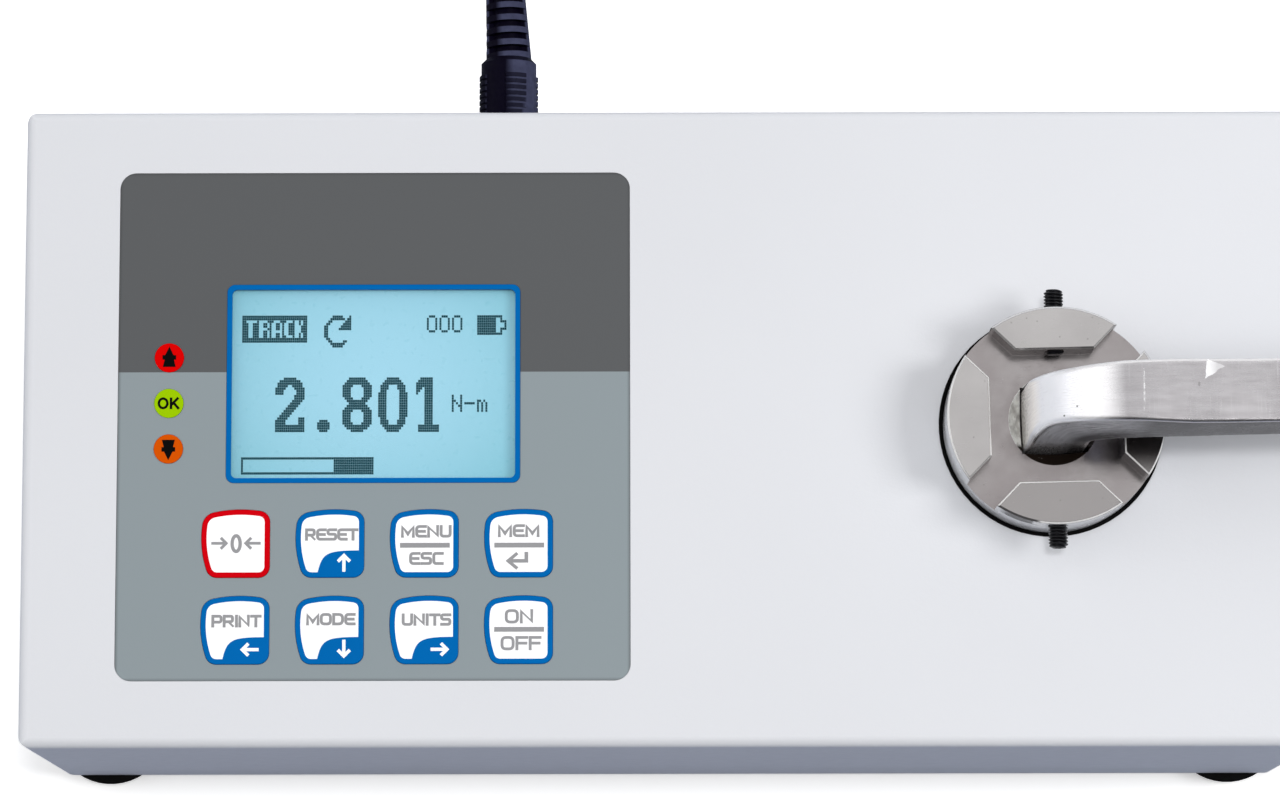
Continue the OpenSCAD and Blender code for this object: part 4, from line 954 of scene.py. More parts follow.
def make_camera():
    data = bpy.data.cameras.new("Camera")
    data.sensor_width = 36.0
    data.lens = bpy.context.scene.torque_meter_stage.lens
    data.clip_start, data.clip_end = 0.05, 20.0
    cam = new_object("Camera", data)
    bpy.context.scene.camera = cam
    down, yaw, roll = (math.radians(a) for a in CAMERA_TURNS)
    level = math.cos(down)
    ahead = Vector((math.sin(yaw) * level, math.cos(yaw) * level, -math.sin(down)))
    right = Vector((math.cos(yaw), -math.sin(yaw), 0))
    up = right.cross(ahead)
    x_axis = right * math.cos(roll) + up * math.sin(roll)
    y_axis = up * math.cos(roll) - right * math.sin(roll)
    turn = Matrix((x_axis, y_axis, -ahead)).transposed()
    cam.matrix_world = Matrix.Translation(CAMERA_AT) @ turn.to_4x4()


# The route's points repeat those of the CAD source, in millimetres
RELIEF_END = Vector((-85.442, 81.975, 36.0))
CORD_JOIN = Vector((-38.0, 150.0, 2.8))
SUPPLY_JOIN = Vector((-38.0, 150.0, 6.8))
CASE_END = Vector((-4.0, 139.0, 14.0))
COIL_AT = Vector((-38.0, 120.0))
COIL_RADII = (30.0, 26.0, 22.0, 18.0)
CORD_D = 4.0
FROM_RELIEF = [
    (0, 0, 0), (-0.3, 6, -0.1), (-0.4, 12, -0.8),
    (0, 18, -2.8), (1.2, 24, -6.2), (3, 31, -11.4),
]
TO_COIL = [
    (-41, -27, 15.6), (-37, -20, 9.8), (-31.5, -13, 5.2),
    (-24.5, -7, 2.3), (-16.5, -2.6, 0.7), (-8, -0.4, 0.1),
]
FROM_COIL = [(5, -0.3, 0.2), (10.5, -1.8, 0.8)]
TO_CASE = [(-17, 5.5, -1.6), (-10.5, 1.8, -0.8), (-5, 0.3, -0.2), (0, 0, 0)]


def coil_path(per_turn):
    """Eight turns clockwise: inwards in the lower layer, outwards in the upper."""
    made = []
    shift = 0.3
    stops = [(r, CORD_JOIN.z) for r in COIL_RADII]
    stops += [(r, SUPPLY_JOIN.z) for r in reversed(COIL_RADII)]
    turns = len(stops)
    for i in range(turns * per_turn + 1):
        at = i / per_turn
        k = min(int(at), turns - 1)
        t = at - k
        r, z = stops[k]
        if k < turns - 1 and t > 1 - shift:
            s = (t - 1 + shift) / shift
            s = s * s * (3 - 2 * s)
            r += (stops[k + 1][0] - r) * s
            z += (stops[k + 1][1] - z) * s
        a = math.pi / 2 - math.tau * at
        made.append(Vector((COIL_AT.x + r * math.cos(a), COIL_AT.y + r * math.sin(a), z)))
    return made


def make_cord():
    form = bpy.context.scene.torque_meter_form
    path = [RELIEF_END + Vector(p) for p in FROM_RELIEF]
    path += [CORD_JOIN + Vector(p) for p in TO_COIL]
    path += coil_path(form.coil_points)
    path += [SUPPLY_JOIN + Vector(p) for p in FROM_COIL]
    path += [CASE_END + Vector(p) for p in TO_CASE]
    curve = bpy.data.curves.new("power_lead", "CURVE")
    curve.dimensions = "3D"
    curve.bevel_depth = CORD_D / 2 * MM
    curve.bevel_resolution = curve.resolution_u = 4
    curve.use_fill_caps = True
    spline = curve.splines.new("BEZIER")
    spline.bezier_points.add(len(path) - 1)
    for point, p in zip(spline.bezier_points, path):
        point.co = p * MM
        point.handle_left_type = point.handle_right_type = "AUTO"
    curve.materials.append(finish("cord"))
    lead = new_object("power_lead", curve)
    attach(lead, BODY)
    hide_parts("power_cord", "cord_coil", "supply_cord")
    bpy.context.view_layer.update()
    dress("moulding", "power_plug", "plug_relief")
    dress("black_plastic", "coil_tie", "supply_case")
    dress("nickel", "supply_pins")


class TORQUE_OT_camera_and_cord(bpy.types.Operator):
    """Makes the camera and the power lead with its coil"""

    bl_idname = "torque_meter.camera_and_cord"
    bl_label = "Camera and power lead"

    def execute(self, context):
        make_camera()
        make_cord()
        return {"FINISHED"}


# Housing and insides


class TORQUE_OT_housing(bpy.types.Operator):
    """Finishes the cover, base, feet, screws and rear sockets"""

    bl_idname = "torque_meter.housing"
    bl_label = "Housing"

    def execute(self, context):
        dress("paint", "top_cover")
        dress("sheet", "base_plate", "battery_strap")
        dress("zinc", "base_screws", "spacer_screws", "foot_screws", "board_screws")
        dress("rubber", "rubber_feet")
        dress("black_plastic", "power_socket", "data_socket_core")
        dress("nickel", "data_socket")
        return {"FINISHED"}


class TORQUE_OT_inside(bpy.types.Operator):
    """Finishes the boards, battery and torque sensor inside the housing"""

    bl_idname = "torque_meter.inside"
    bl_label = "Inside"

    def execute(self, context):
        dress("board", "front_board", "main_board", "port_board")
        dress("brass", "front_spacers", "main_spacers")
        dress("black_plastic", "key_switches", "board_parts", "ribbon_plugs", "lcd_bezel")
        dress("ribbon", "ribbon_cable")
        dress("rubber", "sensor_cable")
        dress("ivory", "cable_plug", "lcd_backlight")
        dress("clear", "indicator_lamps")
        dress("wrap", "battery_pack")
        dress("machined", "sensor_base", "torque_sensor")
        dress("foil", "strain_gauges")
        dress("oxide", "sensor_screws", "chuck_screws")
        return {"FINISHED"}


# Panel and display


# The display's dots: columns from the left, rows from the top
COLUMNS, ROWS = 128, 64


def block(column, row, wide, high):
    return {(i, j) for i in range(column, column + wide) for j in range(row, row + high)}


def oval(column, row, wide, high, power=2.5):
    """Dots inside a rounded box that turns squarer as power grows."""
    cx, cy = column + wide / 2, row + high / 2

    def inside(i, j):
        dx, dy = abs(i + 0.5 - cx) * 2 / wide, abs(j + 0.5 - cy) * 2 / high
        return dx ** power + dy ** power <= 1

    return {d for d in block(column, row, wide, high) if inside(*d)}


def area(*corners):
    """Dots whose middles lie inside a polygon."""

    def inside(x, y):
        odd = False
        for (x0, y0), (x1, y1) in zip(corners, corners[1:] + corners[:1]):
            if (y0 > y) != (y1 > y) and x < x0 + (x1 - x0) * (y - y0) / (y1 - y0):
                odd = not odd
        return odd

    wide, high = zip(*corners)
    columns = range(int(min(wide)), math.ceil(max(wide)))
    rows = range(int(min(high)), math.ceil(max(high)))
    return {(i, j) for i in columns for j in rows if inside(i + 0.5, j + 0.5)}


def thin(column, row, *lines):
    """Straight rows of dots, as small letters are drawn."""
    made = set()
    for (x0, y0), (x1, y1) in lines:
        steps = max(abs(x1 - x0), abs(y1 - y0), 1)
        for k in range(steps + 1):
            i, j = round(x0 + (x1 - x0) * k / steps), round(y0 + (y1 - y0) * k / steps)
            made.add((column + i, row + j))
    return made


def label_dots():
    """The word TRACK, light in a dark box."""
    t = block(2, 2, 5, 1) | block(3, 2, 2, 7)
    r = block(8, 2, 2, 7) | block(10, 2, 2, 1) | block(12, 3, 1, 2) | block(10, 5, 2, 1) | block(12, 6, 1, 3)
    a = block(15, 2, 3, 1) | block(14, 3, 2, 6) | block(18, 3, 1, 6) | block(16, 6, 2, 1)
    c = block(21, 2, 3, 1) | block(20, 3, 2, 5) | block(21, 8, 3, 1)
    k = block(25, 2, 2, 7) | block(28, 2, 1, 2) | block(27, 4, 1, 3) | block(28, 7, 1, 2)
    return block(0, 0, 31, 11) - t - r - a - c - k


def turn_dots(column):
    """Open ring with an arrowhead: the direction of turning."""
    ring = oval(column, 0, 13, 13, 1.9) - oval(column + 2, 2, 9, 9, 2.0) - block(column + 8, 2, 5, 8)
    return ring | area((column + 13, 0), (column + 13, 6), (column + 7, 6))


def battery_dots(column):
    body = block(column, 0, 12, 8) - block(column + 9, 1, 2, 6) - block(column + 11, 3, 1, 2)
    stud = block(column + 12, 2, 2, 4) - block(column + 12, 3, 1, 2)
    return body | stud


def big_dots(row):
    """The reading, in figures 22 dots high."""
    two = oval(16, row, 14, 15, 2.3) - oval(20, row + 3, 6, 12, 2.3) - block(16, row + 7, 14, 12)
    two |= block(25, row + 7, 5, 2) | area((25, row + 9), (30, row + 9), (21, row + 18), (16, row + 18))
    two |= block(16, row + 17, 5, 2) | block(16, row + 19, 14, 3) | block(27, row + 16, 3, 3)
    dot = oval(36, row + 17, 6, 5, 2.6)
    eight = oval(48, row, 14, 11, 2.4) | oval(48, row + 10, 14, 12, 2.4)
    eight -= oval(52, row + 3, 6, 6, 2.8) | oval(52, row + 13, 6, 6, 2.8)
    nought = oval(65, row, 14, 22, 2.5) - oval(69, row + 3, 6, 16, 2.8)
    one = block(87, row, 4, 22) | block(84, row + 19, 10, 3)
    one |= area((86, row), (87, row), (87, row + 3), (84, row + 7), (83, row + 7), (83, row + 3))
    return two | dot | eight | nought | one


def display_dots():
    """All dark dots of the display."""
    nought = (((1, 0), (3, 0)), ((4, 1), (4, 5)), ((3, 6), (1, 6)), ((0, 5), (0, 1)))
    cells = label_dots() | turn_dots(39) | battery_dots(112) | big_dots(25)
    for column in (88, 94, 100):
        cells |= thin(column, 0, *nought)
    cells |= thin(100, 32, ((0, 0), (0, 6)), ((4, 0), (4, 6)), ((1, 2), (3, 4)))
    cells |= thin(106, 32, ((0, 3), (4, 3)))
    legs = (((0, 2), (0, 6)), ((2, 3), (2, 6)), ((4, 3), (4, 6)))
    cells |= thin(112, 32, *legs, ((1, 2), (1, 2)), ((3, 2), (3, 2)))
    return cells | (block(0, 57, 63, 7) - block(1, 58, 43, 5))


def dot_tree(material):
    """Geometry Nodes tree that puts a flat dot on each vertex."""
    tree = bpy.data.node_groups.new("display_dots", "GeometryNodeTree")
    sockets = []
    for title, side, kind in (
        ("Geometry", "INPUT", "Geometry"),
        ("Dot width", "INPUT", "Float"),
        ("Dot height", "INPUT", "Float"),
        ("Geometry", "OUTPUT", "Geometry"),
    ):
        new = tree.interface.new_socket(title, in_out=side, socket_type="NodeSocket" + kind)
        sockets.append(new.identifier)
    t = Nodes(tree)
    ins = t.add("NodeGroupInput").outputs
    size = {"Size_X": ins["Dot width"], "Size_Y": ins["Dot height"]}
    grid = t.wire("GeometryNodeMeshGrid", "Mesh", Vertices_X=2, Vertices_Y=2, **size)
    dots = t.wire("GeometryNodeInstanceOnPoints", "Instances", Points=ins["Geometry"], Instance=grid)
    real = t.wire("GeometryNodeRealizeInstances", "Geometry", Geometry=dots)
    painted = t.wire("GeometryNodeSetMaterial", "Geometry", Geometry=real, Material=material)
    t.put(t.add("NodeGroupOutput").inputs["Geometry"], painted)
    return tree, sockets[1:3]


def grown(name, points, tree, values):
    """Runs a Geometry Nodes tree on loose points and keeps the plain mesh."""
    seed = bpy.data.meshes.new(name + "_points")
    seed.from_pydata(points, [], [])
    obj = new_object(name, seed)
    mod = obj.modifiers.new("dots", "NODES")
    mod.node_group = tree
    for socket, value in values:
        mod[socket] = value
    bpy.context.view_layer.update()
    graph = bpy.context.evaluated_depsgraph_get()
    mesh = bpy.data.meshes.new_from_object(obj.evaluated_get(graph))
    obj.modifiers.clear()
    obj.data = mesh
    mesh.name = name
    mesh.materials.clear()
    return obj


def make_display():
    """Lit glass, clear pane, and the dots just above the glass."""
    form = bpy.context.scene.torque_meter_form
    dress("display", "lcd_glass")
    dress("pane", "display_window")
    wide, high = form.dot_pitch_x, form.dot_pitch_y
    centre = middle("lcd_glass") * MM
    left = centre.x + 0.00034 - COLUMNS / 2 * wide
    top = centre.y - 0.00154 + ROWS / 2 * high
    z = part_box("lcd_glass")[1].z + 0.00003
    points = [(left + (i + 0.5) * wide, top - (j + 0.5) * high, z) for i, j in sorted(display_dots())]
    tree, sockets = dot_tree(finish("ink"))
    sizes = (wide * form.dot_share, high * form.dot_share)
    dots = grown("display_figures", points, tree, zip(sockets, sizes))
    dots.data.materials.append(finish("ink"))
    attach(dots, BODY)


# The arrow on the outer indicators: its head and its flared foot
ARROW_HEAD = ((0, 1.75), (0.66, 0.42), (-0.66, 0.42))
ARROW_FOOT = (
    (-1.05, 0.42), (1.05, 0.42), (1.05, -0.28), (0.72, -0.28),
    (1.0, -1.42), (-1.0, -1.42), (-0.72, -0.28), (-1.05, -0.28),
)


def make_panel():
    dress("film", "keypad_overlay")
    dress("blue", "window_frame")
    dress("lens_red", "indicator_high")
    dress("lens_green", "indicator_ok")
    dress("lens_orange", "indicator_low")
    for node, sign in (("indicator_high", 1), ("indicator_low", -1)):
        mark = Print(middle(node), top_of(node) + 0.02)
        for outline in (ARROW_HEAD, ARROW_FOOT):
            mark.polygon([(x, y * sign) for x, y in outline], "black")
        mark.made(node.replace("indicator", "mark"), BODY)
    ok = Print(middle("indicator_ok"), top_of("indicator_ok") + 0.02)
    ok.line(ring_path(-0.88, 0, 0.66, 0.74), 0.38, "black", True)
    for stroke in (
        [(0.34, -0.9), (0.34, 0.9)],
        [(1.46, 0.88), (0.42, -0.22)],
        [(0.72, 0.1), (1.56, -0.88)],
    ):
        ok.line(stroke, 0.39, "black")
    ok.made("mark_ok", BODY)


class TORQUE_OT_panel(bpy.types.Operator):
    """Finishes the panel, the indicators and the lit display"""

    bl_idname = "torque_meter.panel"
    bl_label = "Panel and display"

    def execute(self, context):
        make_panel()
        make_display()
        return {"FINISHED"}


# Keys

# The outline of a key, as in the CAD source: half its width, its corners, its back left
# shoulder, and the radii and offsets of the wide arcs at its left side and its back
KEY_HALF = 5.2
KEY_CORNER = 1.65
KEY_SHOULDER = 2.2
KEY_SIDE_R = 15.5
KEY_SIDE_Y = 0.9
KEY_BACK_R = 20.0
KEY_BACK_X = 0.8


def third_side(long, short):
    """Third side of a triangle with a right angle."""
    return math.sqrt(long ** 2 - short ** 2)


def corner_at(c1, r1, c2, r2, r):
    """Middle of a corner arc of radius r that touches two wide arcs from inside."""
    d = (c2 - c1).length
    e = (c2 - c1) / d
    a = ((r1 - r) ** 2 - (r2 - r) ** 2 + d * d) / (2 * d)
    return c1 + a * e + third_side(r1 - r, a) * Vector((-e.y, e.x))


def bearing(p, q):
    """Direction from q to p, in degrees."""
    return math.degrees(math.atan2(p.y - q.y, p.x - q.x))


def key_outline(grow):
    """The CAD key's outline, grown evenly and with finer arcs."""
    h = KEY_HALF
    low = h - KEY_CORNER
    side = Vector((KEY_SIDE_R - h, KEY_SIDE_Y))
    back = Vector((KEY_BACK_X, h - KEY_BACK_R))
    right_c = Vector((low, back.y + third_side(KEY_BACK_R - KEY_CORNER, low - back.x)))
    left_c = Vector((side.x - third_side(KEY_SIDE_R - KEY_CORNER, low + side.y), -low))
    top_c = corner_at(back, KEY_BACK_R, side, KEY_SIDE_R, KEY_SHOULDER)
    small = max(0.05, KEY_CORNER + grow)
    a1, a2 = bearing(right_c, back), bearing(top_c, back)
    a3, a4 = bearing(top_c, side), 360 + bearing(left_c, side)
    return (
        arc(low, -low, small, -90, 0, 6)
        + arc(right_c.x, right_c.y, small, 0, a1, 6)
        + arc(back.x, back.y, KEY_BACK_R + grow, a1, a2, 12)
        + arc(top_c.x, top_c.y, KEY_SHOULDER + grow, a2, a3, 12)
        + arc(side.x, side.y, KEY_SIDE_R + grow, a3, a4, 12)
        + arc(left_c.x, left_c.y, small, a4, 270, 6)
    )


def arrow(x, y, size, head, turn):
    """Shaft and head strokes of an arrow that points along turn, in degrees."""

    def at(u, v):
        across, up = turned(u, v, math.radians(turn))
        return (x + across, y + up)

    h = size / 2
    return [at(-h, 0), at(h, 0)], [at(h - head, head), at(h, 0), at(h - head, -head)]


def sweep_corner(p):
    """Blue area in the key's lower right corner, under a curved edge."""
    h = KEY_HALF - 0.06
    start, end = Vector((-2.0, -h)), Vector((h, -1.08))
    a, b = Vector((-1.2, -1.4)), Vector((-0.9, -1.05))
    edge = []
    for t in (i / 14 for i in range(15)):
        s = 1 - t
        edge.append(start * s ** 3 + a * 3 * t * s ** 2 + b * 3 * t * t * s + end * t ** 3)
    corner = arc(h - KEY_CORNER, KEY_CORNER - h, KEY_CORNER, 0, -90, 6)
    p.polygon([(q.x, q.y) for q in edge] + corner, "blue", 0.012)


# Kind of sign, its words or arrow, and each word's width, height and place
KEY_SIGNS = {
    "key_zero": ("zero",),
    "key_reset": ("sweep", 90, 0.08, -0.12, ("RESET", 8.2, 1.9, 0.28, 1.38)),
    "key_menu": ("bar", -0.31, ("MENU", 7.9, 1.95, 0.38, 1.84), ("ESC", 5.4, 2.0, 0.4, -2.35)),
    "key_memory": ("enter", -0.31, ("MEM", 6.5, 2.0, 0.07, 1.92)),
    "key_print": ("sweep", 180, 0.35, 0.0, ("PRINT", 7.7, 1.95, 0.26, 1.39)),
    "key_mode": ("sweep", -90, 0.15, 0.25, ("MODE", 7.65, 1.9, 0.27, 1.66)),
    "key_units": ("sweep", 0, 0.2, 0.0, ("UNITS", 7.7, 1.9, 0.45, 1.57)),
    "key_power": ("bar", 0.05, ("ON", 4.5, 2.2, 0.16, 2.05), ("OFF", 6.3, 2.2, 0.42, -2.08)),
}


def key_legend(p, node, stroke):
    """Grey words and bars, the blue corner with its white arrow."""
    kind, *rest = KEY_SIGNS[node]
    up = 0.024
    if kind == "zero":
        p.line(ring_path(0.1, 0.0, 0.62, 1.22), 0.52, "legend", True, up)
        for x, turn in ((-2.57, 0), (2.72, 180)):
            for path in arrow(x, 0.05, 2.3, 0.85, turn):
                p.line(path, 0.44, "legend", raise_by=up)
        return
    if kind == "sweep":
        sweep_corner(p)
        for path in arrow(2.1 + rest[1], -3.0 + rest[2], 2.5, 0.92, rest[0]):
            p.line(path, 0.5, "white", raise_by=0.03)
        rest = rest[2:]
    else:
        p.line([(-3.72, rest[0]), (3.93, rest[0])], 0.75, "legend", raise_by=up)
    if kind == "enter":
        p.line([(1.2, -1.36), (1.2, -2.74), (-1.45, -2.74)], 0.56, "legend", raise_by=up)
        p.line([(-0.18, -1.55), (-1.6, -2.74), (-0.18, -3.93)], 0.5, "legend", raise_by=up)
    for word, wide, tall, x, y in rest[1:]:
        p.word(word, x, y, wide, tall, stroke, "legend", up)


# Top of the flange that keeps a key under the panel, and the radius of its stem
FLANGE_Z = 64.0
STEM_R = 1.7


def make_key(node):
    """Cap with a rounded rim, a coloured outline and a white face."""
    form = bpy.context.scene.torque_meter_form
    edge = form.outline / MM
    centre = middle(node)
    top = top_of(node)
    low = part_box(node)[0].z / MM
    levels = [
        (0.7, FLANGE_Z - 0.8), (0.7, FLANGE_Z), (0.0, FLANGE_Z),
        (0.0, top - 1.5), (0.06, top - 1.3), (0.06, top - 0.1),
        (0.0, top - 0.03), (-0.08, top), (-edge, top),
    ]

    def ring(outline, z):
        return [(centre.x + x, centre.y + y, z) for x, y in outline]

    points, faces = loft([ring(key_outline(grow), z) for grow, z in levels])
    white = len(faces) - 1
    base = len(points)
    stem = arc(0, 0, STEM_R, 0, 345, 23)
    more, walls = loft([ring(stem, low), ring(stem, FLANGE_Z - 0.8)])
    faces += [tuple(base + i for i in f) for f in walls]
    slots = [int(i == white) for i in range(len(faces))]
    color = "red" if node == "key_zero" else "blue"
    cap = piece(node + "_cap", points + more, faces, [color, "white"], slots=slots)
    stand_in(cap, node, node)
    marks = Print(centre, top)
    key_legend(marks, node, form.stroke / MM)
    marks.made(node + "_sign", node)


class TORQUE_OT_keys(bpy.types.Operator):
    """Makes the eight key caps with their outlines and signs"""

    bl_idname = "torque_meter.keys"
    bl_label = "Keys"

    def execute(self, context):
        for node in KEY_SIGNS:
            make_key(node)
        return {"FINISHED"}


# Chuck, grub screws and lever


# The grub screws, in millimetres and degrees
GRUB_R = 1.49
GRUB_LENGTH = 10.0
GRUB_Z = 74.65
GRUB_YAW = 0.4
THREAD_DEPTH = 0.3
HEX_ACROSS = 1.5
HEX_DEEP = 1.6


def make_grub(node, turn, inner):
    """Threaded screw with a hexagon socket at its outer end."""
    pitch = bpy.context.scene.torque_meter_form.thread_pitch / MM
    around, rows = 24, int(GRUB_LENGTH / pitch * 6)
    angles = [math.tau * j / around for j in range(around)]
    yaw = math.radians(GRUB_YAW + turn)

    def place(radius, angle, along):
        across, up = radius * math.cos(angle), radius * math.sin(angle)
        return (*turned(across, inner + along, yaw), GRUB_Z + up)

    rings = []
    for i in range(rows + 1):
        along = GRUB_LENGTH * i / rows
        ends = min(1.0, (along + 0.02) / 0.4, (GRUB_LENGTH - along + 0.02) / 0.4)
        row = []
        for j, a in enumerate(angles):
            ridge = 1 - abs(2 * ((along / pitch - j / around) % 1.0) - 1)
            cut = THREAD_DEPTH * (1 - min(1.0, ridge * 1.35))
            row.append(place(GRUB_R - cut - (1 - ends) * 0.38, a, along))
        rings.append(row)
    sector = math.pi / 3
    reach = [HEX_ACROSS / 2 / math.cos(a % sector - sector / 2) for a in angles]
    for along in (GRUB_LENGTH, GRUB_LENGTH - HEX_DEEP):
        rings.append([place(r, a, along) for r, a in zip(reach, angles)])
    grub = piece(node + "_thread", *loft(rings), ["oxide"])
    outward(grub)
    stand_in(grub, node, node)


class TORQUE_OT_chuck(bpy.types.Operator):
    """Finishes the chuck and its seal and makes the grub screws"""

    bl_idname = "torque_meter.chuck"
    bl_label = "Chuck"

    def execute(self, context):
        dress("chuck", "chuck")
        dress("seal", "seal_ring")
        make_grub("grub_screw_back", 0, 9.65)
        make_grub("grub_screw_front", 180, 10.05)
        return {"FINISHED"}


def blend_table(table, x):
    """Straight-line value from a table of (x, value) pairs."""
    if x <= table[0][0]:
        return table[0][1]
    for (x0, v0), (x1, v1) in zip(table, table[1:]):
        if x <= x1:
            return v0 + (v1 - v0) * (x - x0) / (x1 - x0)
    return table[-1][1]


# Half widths along the bar, by the distance run from the leg's foot
LEG = 19.2
FRONT_OUT = [
    (LEG - 3, 4.7), (LEG, 4.6), (LEG + 2.5, 4.0), (LEG + 4.4, 3.35), (LEG + 6, 3.0),
    (LEG + 7.8, 2.9), (LEG + 11.8, 3.3), (LEG + 15.5, 3.6), (LEG + 25, 4.3),
    (LEG + 40, 4.5), (LEG + 60, 4.6),
]
FRONT_IN = [(LEG - 8, 4.72), (LEG, 5.0), (LEG + 8, 5.25), (LEG + 40, 5.2), (LEG + 70, 4.8)]
BACK_OUT = [
    (LEG, 4.72), (LEG + 10, 4.95), (LEG + 16, 5.35), (LEG + 24, 5.35),
    (LEG + 34, 5.1), (LEG + 60, 4.9),
]
BACK_IN = [(LEG - 8, 4.72), (LEG + 8, 4.9), (LEG + 40, 4.85), (LEG + 70, 4.74)]
# The bar's width, its outer bend, its rise above the cover, its play in the socket, its end
BAR, BEND, RISE, SHIFT, REACH = 9.5, 16.0, 31.0, 0.05, 160.0
COVER_TOP = 66.0
LEVER_YAW = math.radians(1.3)


def bar_section(run):
    """Rounded section of the bar: u to the outside of the bend, v to the back."""
    h = BAR / 2
    soft = 0.55 + 0.6 * math.exp(-(((run - LEG - 3) / 8) ** 2))
    corners = [
        Vector((h, -blend_table(FRONT_OUT, run))),
        Vector((h, blend_table(BACK_OUT, run))),
        Vector((-h, blend_table(BACK_IN, run))),
        Vector((-h, -blend_table(FRONT_IN, run))),
    ]
    made = []
    for i, c in enumerate(corners):
        before, after = corners[i - 1], corners[(i + 1) % 4]
        a = c + (before - c).normalized() * soft
        b = c + (after - c).normalized() * soft
        for t in (k / 5 for k in range(6)):
            made.append(a * (1 - t) ** 2 + c * 2 * t * (1 - t) + b * t * t)
        far = after + (c - after).normalized() * soft
        made += [b.lerp(far, 0.25), b.lerp(far, 0.5), b.lerp(far, 0.75)]
    return made


def lever_line():
    """Middle line of the bar: x, z, the angle bent so far and the distance run."""
    mid = BEND - BAR / 2
    centre_x, centre_z = mid - SHIFT, COVER_TOP + RISE - BEND
    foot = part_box("lever")[0].z / MM
    leg_run = centre_z - foot
    for i in range(11):
        yield -SHIFT, foot + leg_run * i / 11, 0.0, leg_run * i / 11
    for i in range(29):
        a = math.pi / 2 * i / 28
        yield centre_x - mid * math.cos(a), centre_z + mid * math.sin(a), a, leg_run + mid * a
    for i in range(1, 61):
        x = (REACH - centre_x) * i / 60
        yield centre_x + x, centre_z + mid, math.pi / 2, leg_run + mid * math.pi / 2 + x


def make_lever():
    rings, runs = [], []
    for x, z, a, run in lever_line():
        row = []
        for p in bar_section(run):
            wob = 0.035 * noise.noise(Vector((run * 0.16, p.x * 0.3, p.y * 0.3)))
            u, v = p.x * (1 + wob / 5), p.y * (1 + wob / 5)
            row.append((*turned(x - u * math.cos(a), v, LEVER_YAW), z + u * math.sin(a)))
        rings.append(row)
        runs.append(run)
    # The last ring steps back to leave room for the rounded end
    back_x, back_y = turned(0.6, 0.0, LEVER_YAW)
    rings[-1] = [(x - back_x, y - back_y, z) for x, y, z in rings[-1]]
    last = bar_section(run)
    for shrink, back in ((0.94, 0.25), (0.8, 0.0)):
        ends = [(*turned(REACH - back, p.y * shrink, LEVER_YAW), z + p.x * shrink) for p in last]
        rings.append(ends)
        runs.append(runs[-1] + 0.3)
    lever = piece("lever_bar", *loft(rings), ["lever"], smooth=True)
    mesh = lever.data
    n = len(rings[0])
    layer = mesh.uv_layers.new(name="run")
    for poly in mesh.polygons:
        cols = [mesh.loops[k].vertex_index % n for k in poly.loop_indices]
        wrap = max(cols) - min(cols) > n // 2 and len(cols) == 4
        for k, c in zip(poly.loop_indices, cols):
            row = mesh.loops[k].vertex_index // n
            c = c + n if wrap and c < n // 2 else c
            layer.data[k].uv = (runs[row] * MM, c / n * 0.038)
    outward(lever)
    for poly in mesh.polygons:
        poly.use_smooth = len(poly.vertices) == 4
    stand_in(lever, BODY, "lever")


class TORQUE_OT_lever(bpy.types.Operator):
    """Makes the bent square lever"""

    bl_idname = "torque_meter.lever"
    bl_label = "Lever"

    def execute(self, context):
        make_lever()
        return {"FINISHED"}


# Stage


def make_floor():
    """White floor just below the feet, bluish to all but the camera."""
    half, z = 4.0, -0.00005
    corners = [(-half, -half, z), (half, -half, z), (half, half, z), (-half, half, z)]
    mesh = bpy.data.meshes.new("floor")
    mesh.from_pydata(corners, [], [(0, 1, 2, 3)])
    white = (0.95, 0.95, 0.95)
    s = Shader("white_floor", white, 0.9, specular=0.1)
    seen = s.wire("ShaderNodeLightPath", "Is Camera Ray")
    s.set("Base Color", s.mix(seen, (0.41, 0.45, 0.56), white))
    s.set("Emission Color", (1, 1, 1, 1))
    s.set("Emission Strength", seen * 0.38)
    mesh.materials.append(s.mat)
    new_object("floor", mesh)


def area_light(name, place, width, height, power, color):
    """Soft rectangular light that looks at the meter."""
    data = bpy.data.lights.new(name, "AREA")
    data.shape = "RECTANGLE"
    data.size, data.size_y = width, height
    data.energy = power
    data.color = color
    light = new_object(name, data)
    light.location = place
    aim = Vector((-0.05, 0.0, 0.07)) - Vector(place)
    light.rotation_euler = aim.to_track_quat("-Z", "Y").to_euler()
    return light


# The sky's brightness by its height, from 0 straight below to 1 straight above
SKY_STOPS = ((0.5, 2.8), (0.54, 2.4), (0.59, 0.6), (0.65, 0.33), (0.88, 0.4), (0.95, 2.2))


def make_sky(strength, screen_strength):
    """Bands of light by height, and a bright screen on the left."""
    world = bpy.data.worlds.new("studio")
    bpy.context.scene.world = world
    world.use_nodes = True
    sky = Nodes(world.node_tree)
    x, y, z = sky.axes(sky.wire("ShaderNodeTexCoord", "Generated"))
    bands = sky.add("ShaderNodeValToRGB", Fac=z.ramp(-1.0, 1.0))
    stops = bands.color_ramp.elements
    stops[0].position, stops[0].color = 0.0, (0.2, 0.21, 0.23, 1)
    stops[1].position, stops[1].color = 1.0, (2.45, 2.45, 2.48, 1)
    for at, bright in SKY_STOPS:
        stops.new(at).color = (bright, bright * 1.01, bright * 1.03, 1)
    share = most(y.ramp(-0.6, 0.4, 0.5, 2.2), z.ramp(0.3, 0.7))
    dimmed = sky.vector_math("MULTIPLY", bands.outputs["Color"], share)
    screen = x.ramp(-0.33, -0.51) * z.ramp(-0.05, 0.1) * y.ramp(-0.3, -0.1) * y.ramp(0.75, 0.55)
    back = world.node_tree.nodes["Background"].inputs
    lit = sky.vector_math("MULTIPLY_ADD", screen, [screen_strength] * 3, dimmed)
    sky.put(back["Color"], lit)
    sky.put(back["Strength"], strength)


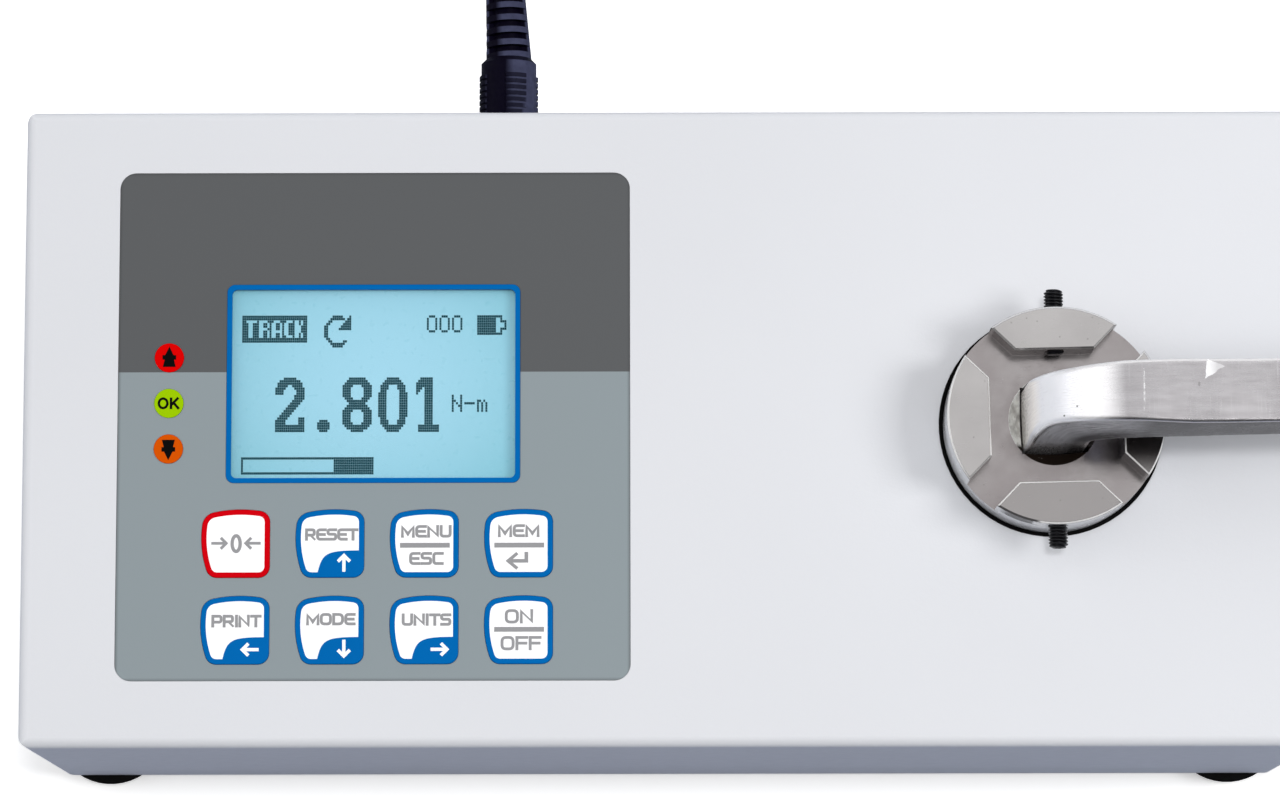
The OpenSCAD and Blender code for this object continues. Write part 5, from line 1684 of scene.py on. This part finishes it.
def make_lights():
    stage = bpy.context.scene.torque_meter_stage
    area_light("light_right", (0.75, -0.05, 1.0), 0.4, 0.5, stage.right_light, (1.0, 0.995, 0.99))
    top = area_light("light_top", (0.0, -0.02, 1.35), 0.12, 0.12, stage.top_light, (1.0, 1.0, 1.0))
    top.visible_glossy = False
    make_sky(stage.sky, stage.left_sky)


class TORQUE_OT_stage(bpy.types.Operator):
    """Sets up the floor, the soft lights and the sky"""

    bl_idname = "torque_meter.stage"
    bl_label = "Stage"

    def execute(self, context):
        make_floor()
        make_lights()
        view = context.scene.view_settings
        view.view_transform = "Standard"
        view.look = "None"
        return {"FINISHED"}


class TORQUE_PT_panel(bpy.types.Panel):
    bl_idname = "TORQUE_PT_panel"
    bl_label = "Torque meter"
    bl_space_type = "VIEW_3D"
    bl_region_type = "UI"
    bl_category = "Torque meter"

    def draw(self, context):
        for cls in STEPS:
            self.layout.operator(cls.bl_idname)
        for name in PROPERTIES:
            box = self.layout.box()
            settings = getattr(context.scene, name)
            for key in settings.__annotations__:
                box.prop(settings, key)


STEPS = (
    TORQUE_OT_camera_and_cord,
    TORQUE_OT_housing,
    TORQUE_OT_inside,
    TORQUE_OT_panel,
    TORQUE_OT_keys,
    TORQUE_OT_chuck,
    TORQUE_OT_lever,
    TORQUE_OT_stage,
)
PROPERTIES = {
    "torque_meter_look": TorqueMeterLook,
    "torque_meter_form": TorqueMeterForm,
    "torque_meter_stage": TorqueMeterStage,
}
CLASSES = (*PROPERTIES.values(), *STEPS, TORQUE_PT_panel)


def register():
    for cls in CLASSES:
        bpy.utils.register_class(cls)
    for name, cls in PROPERTIES.items():
        setattr(bpy.types.Scene, name, PointerProperty(type=cls))


def unregister():
    for name in PROPERTIES:
        delattr(bpy.types.Scene, name)
    for cls in reversed(CLASSES):
        bpy.utils.unregister_class(cls)


def main():
    register()
    for cls in STEPS:
        group_name, call = cls.bl_idname.split(".")
        getattr(getattr(bpy.ops, group_name), call)()


if __name__ == "__main__":
    main()
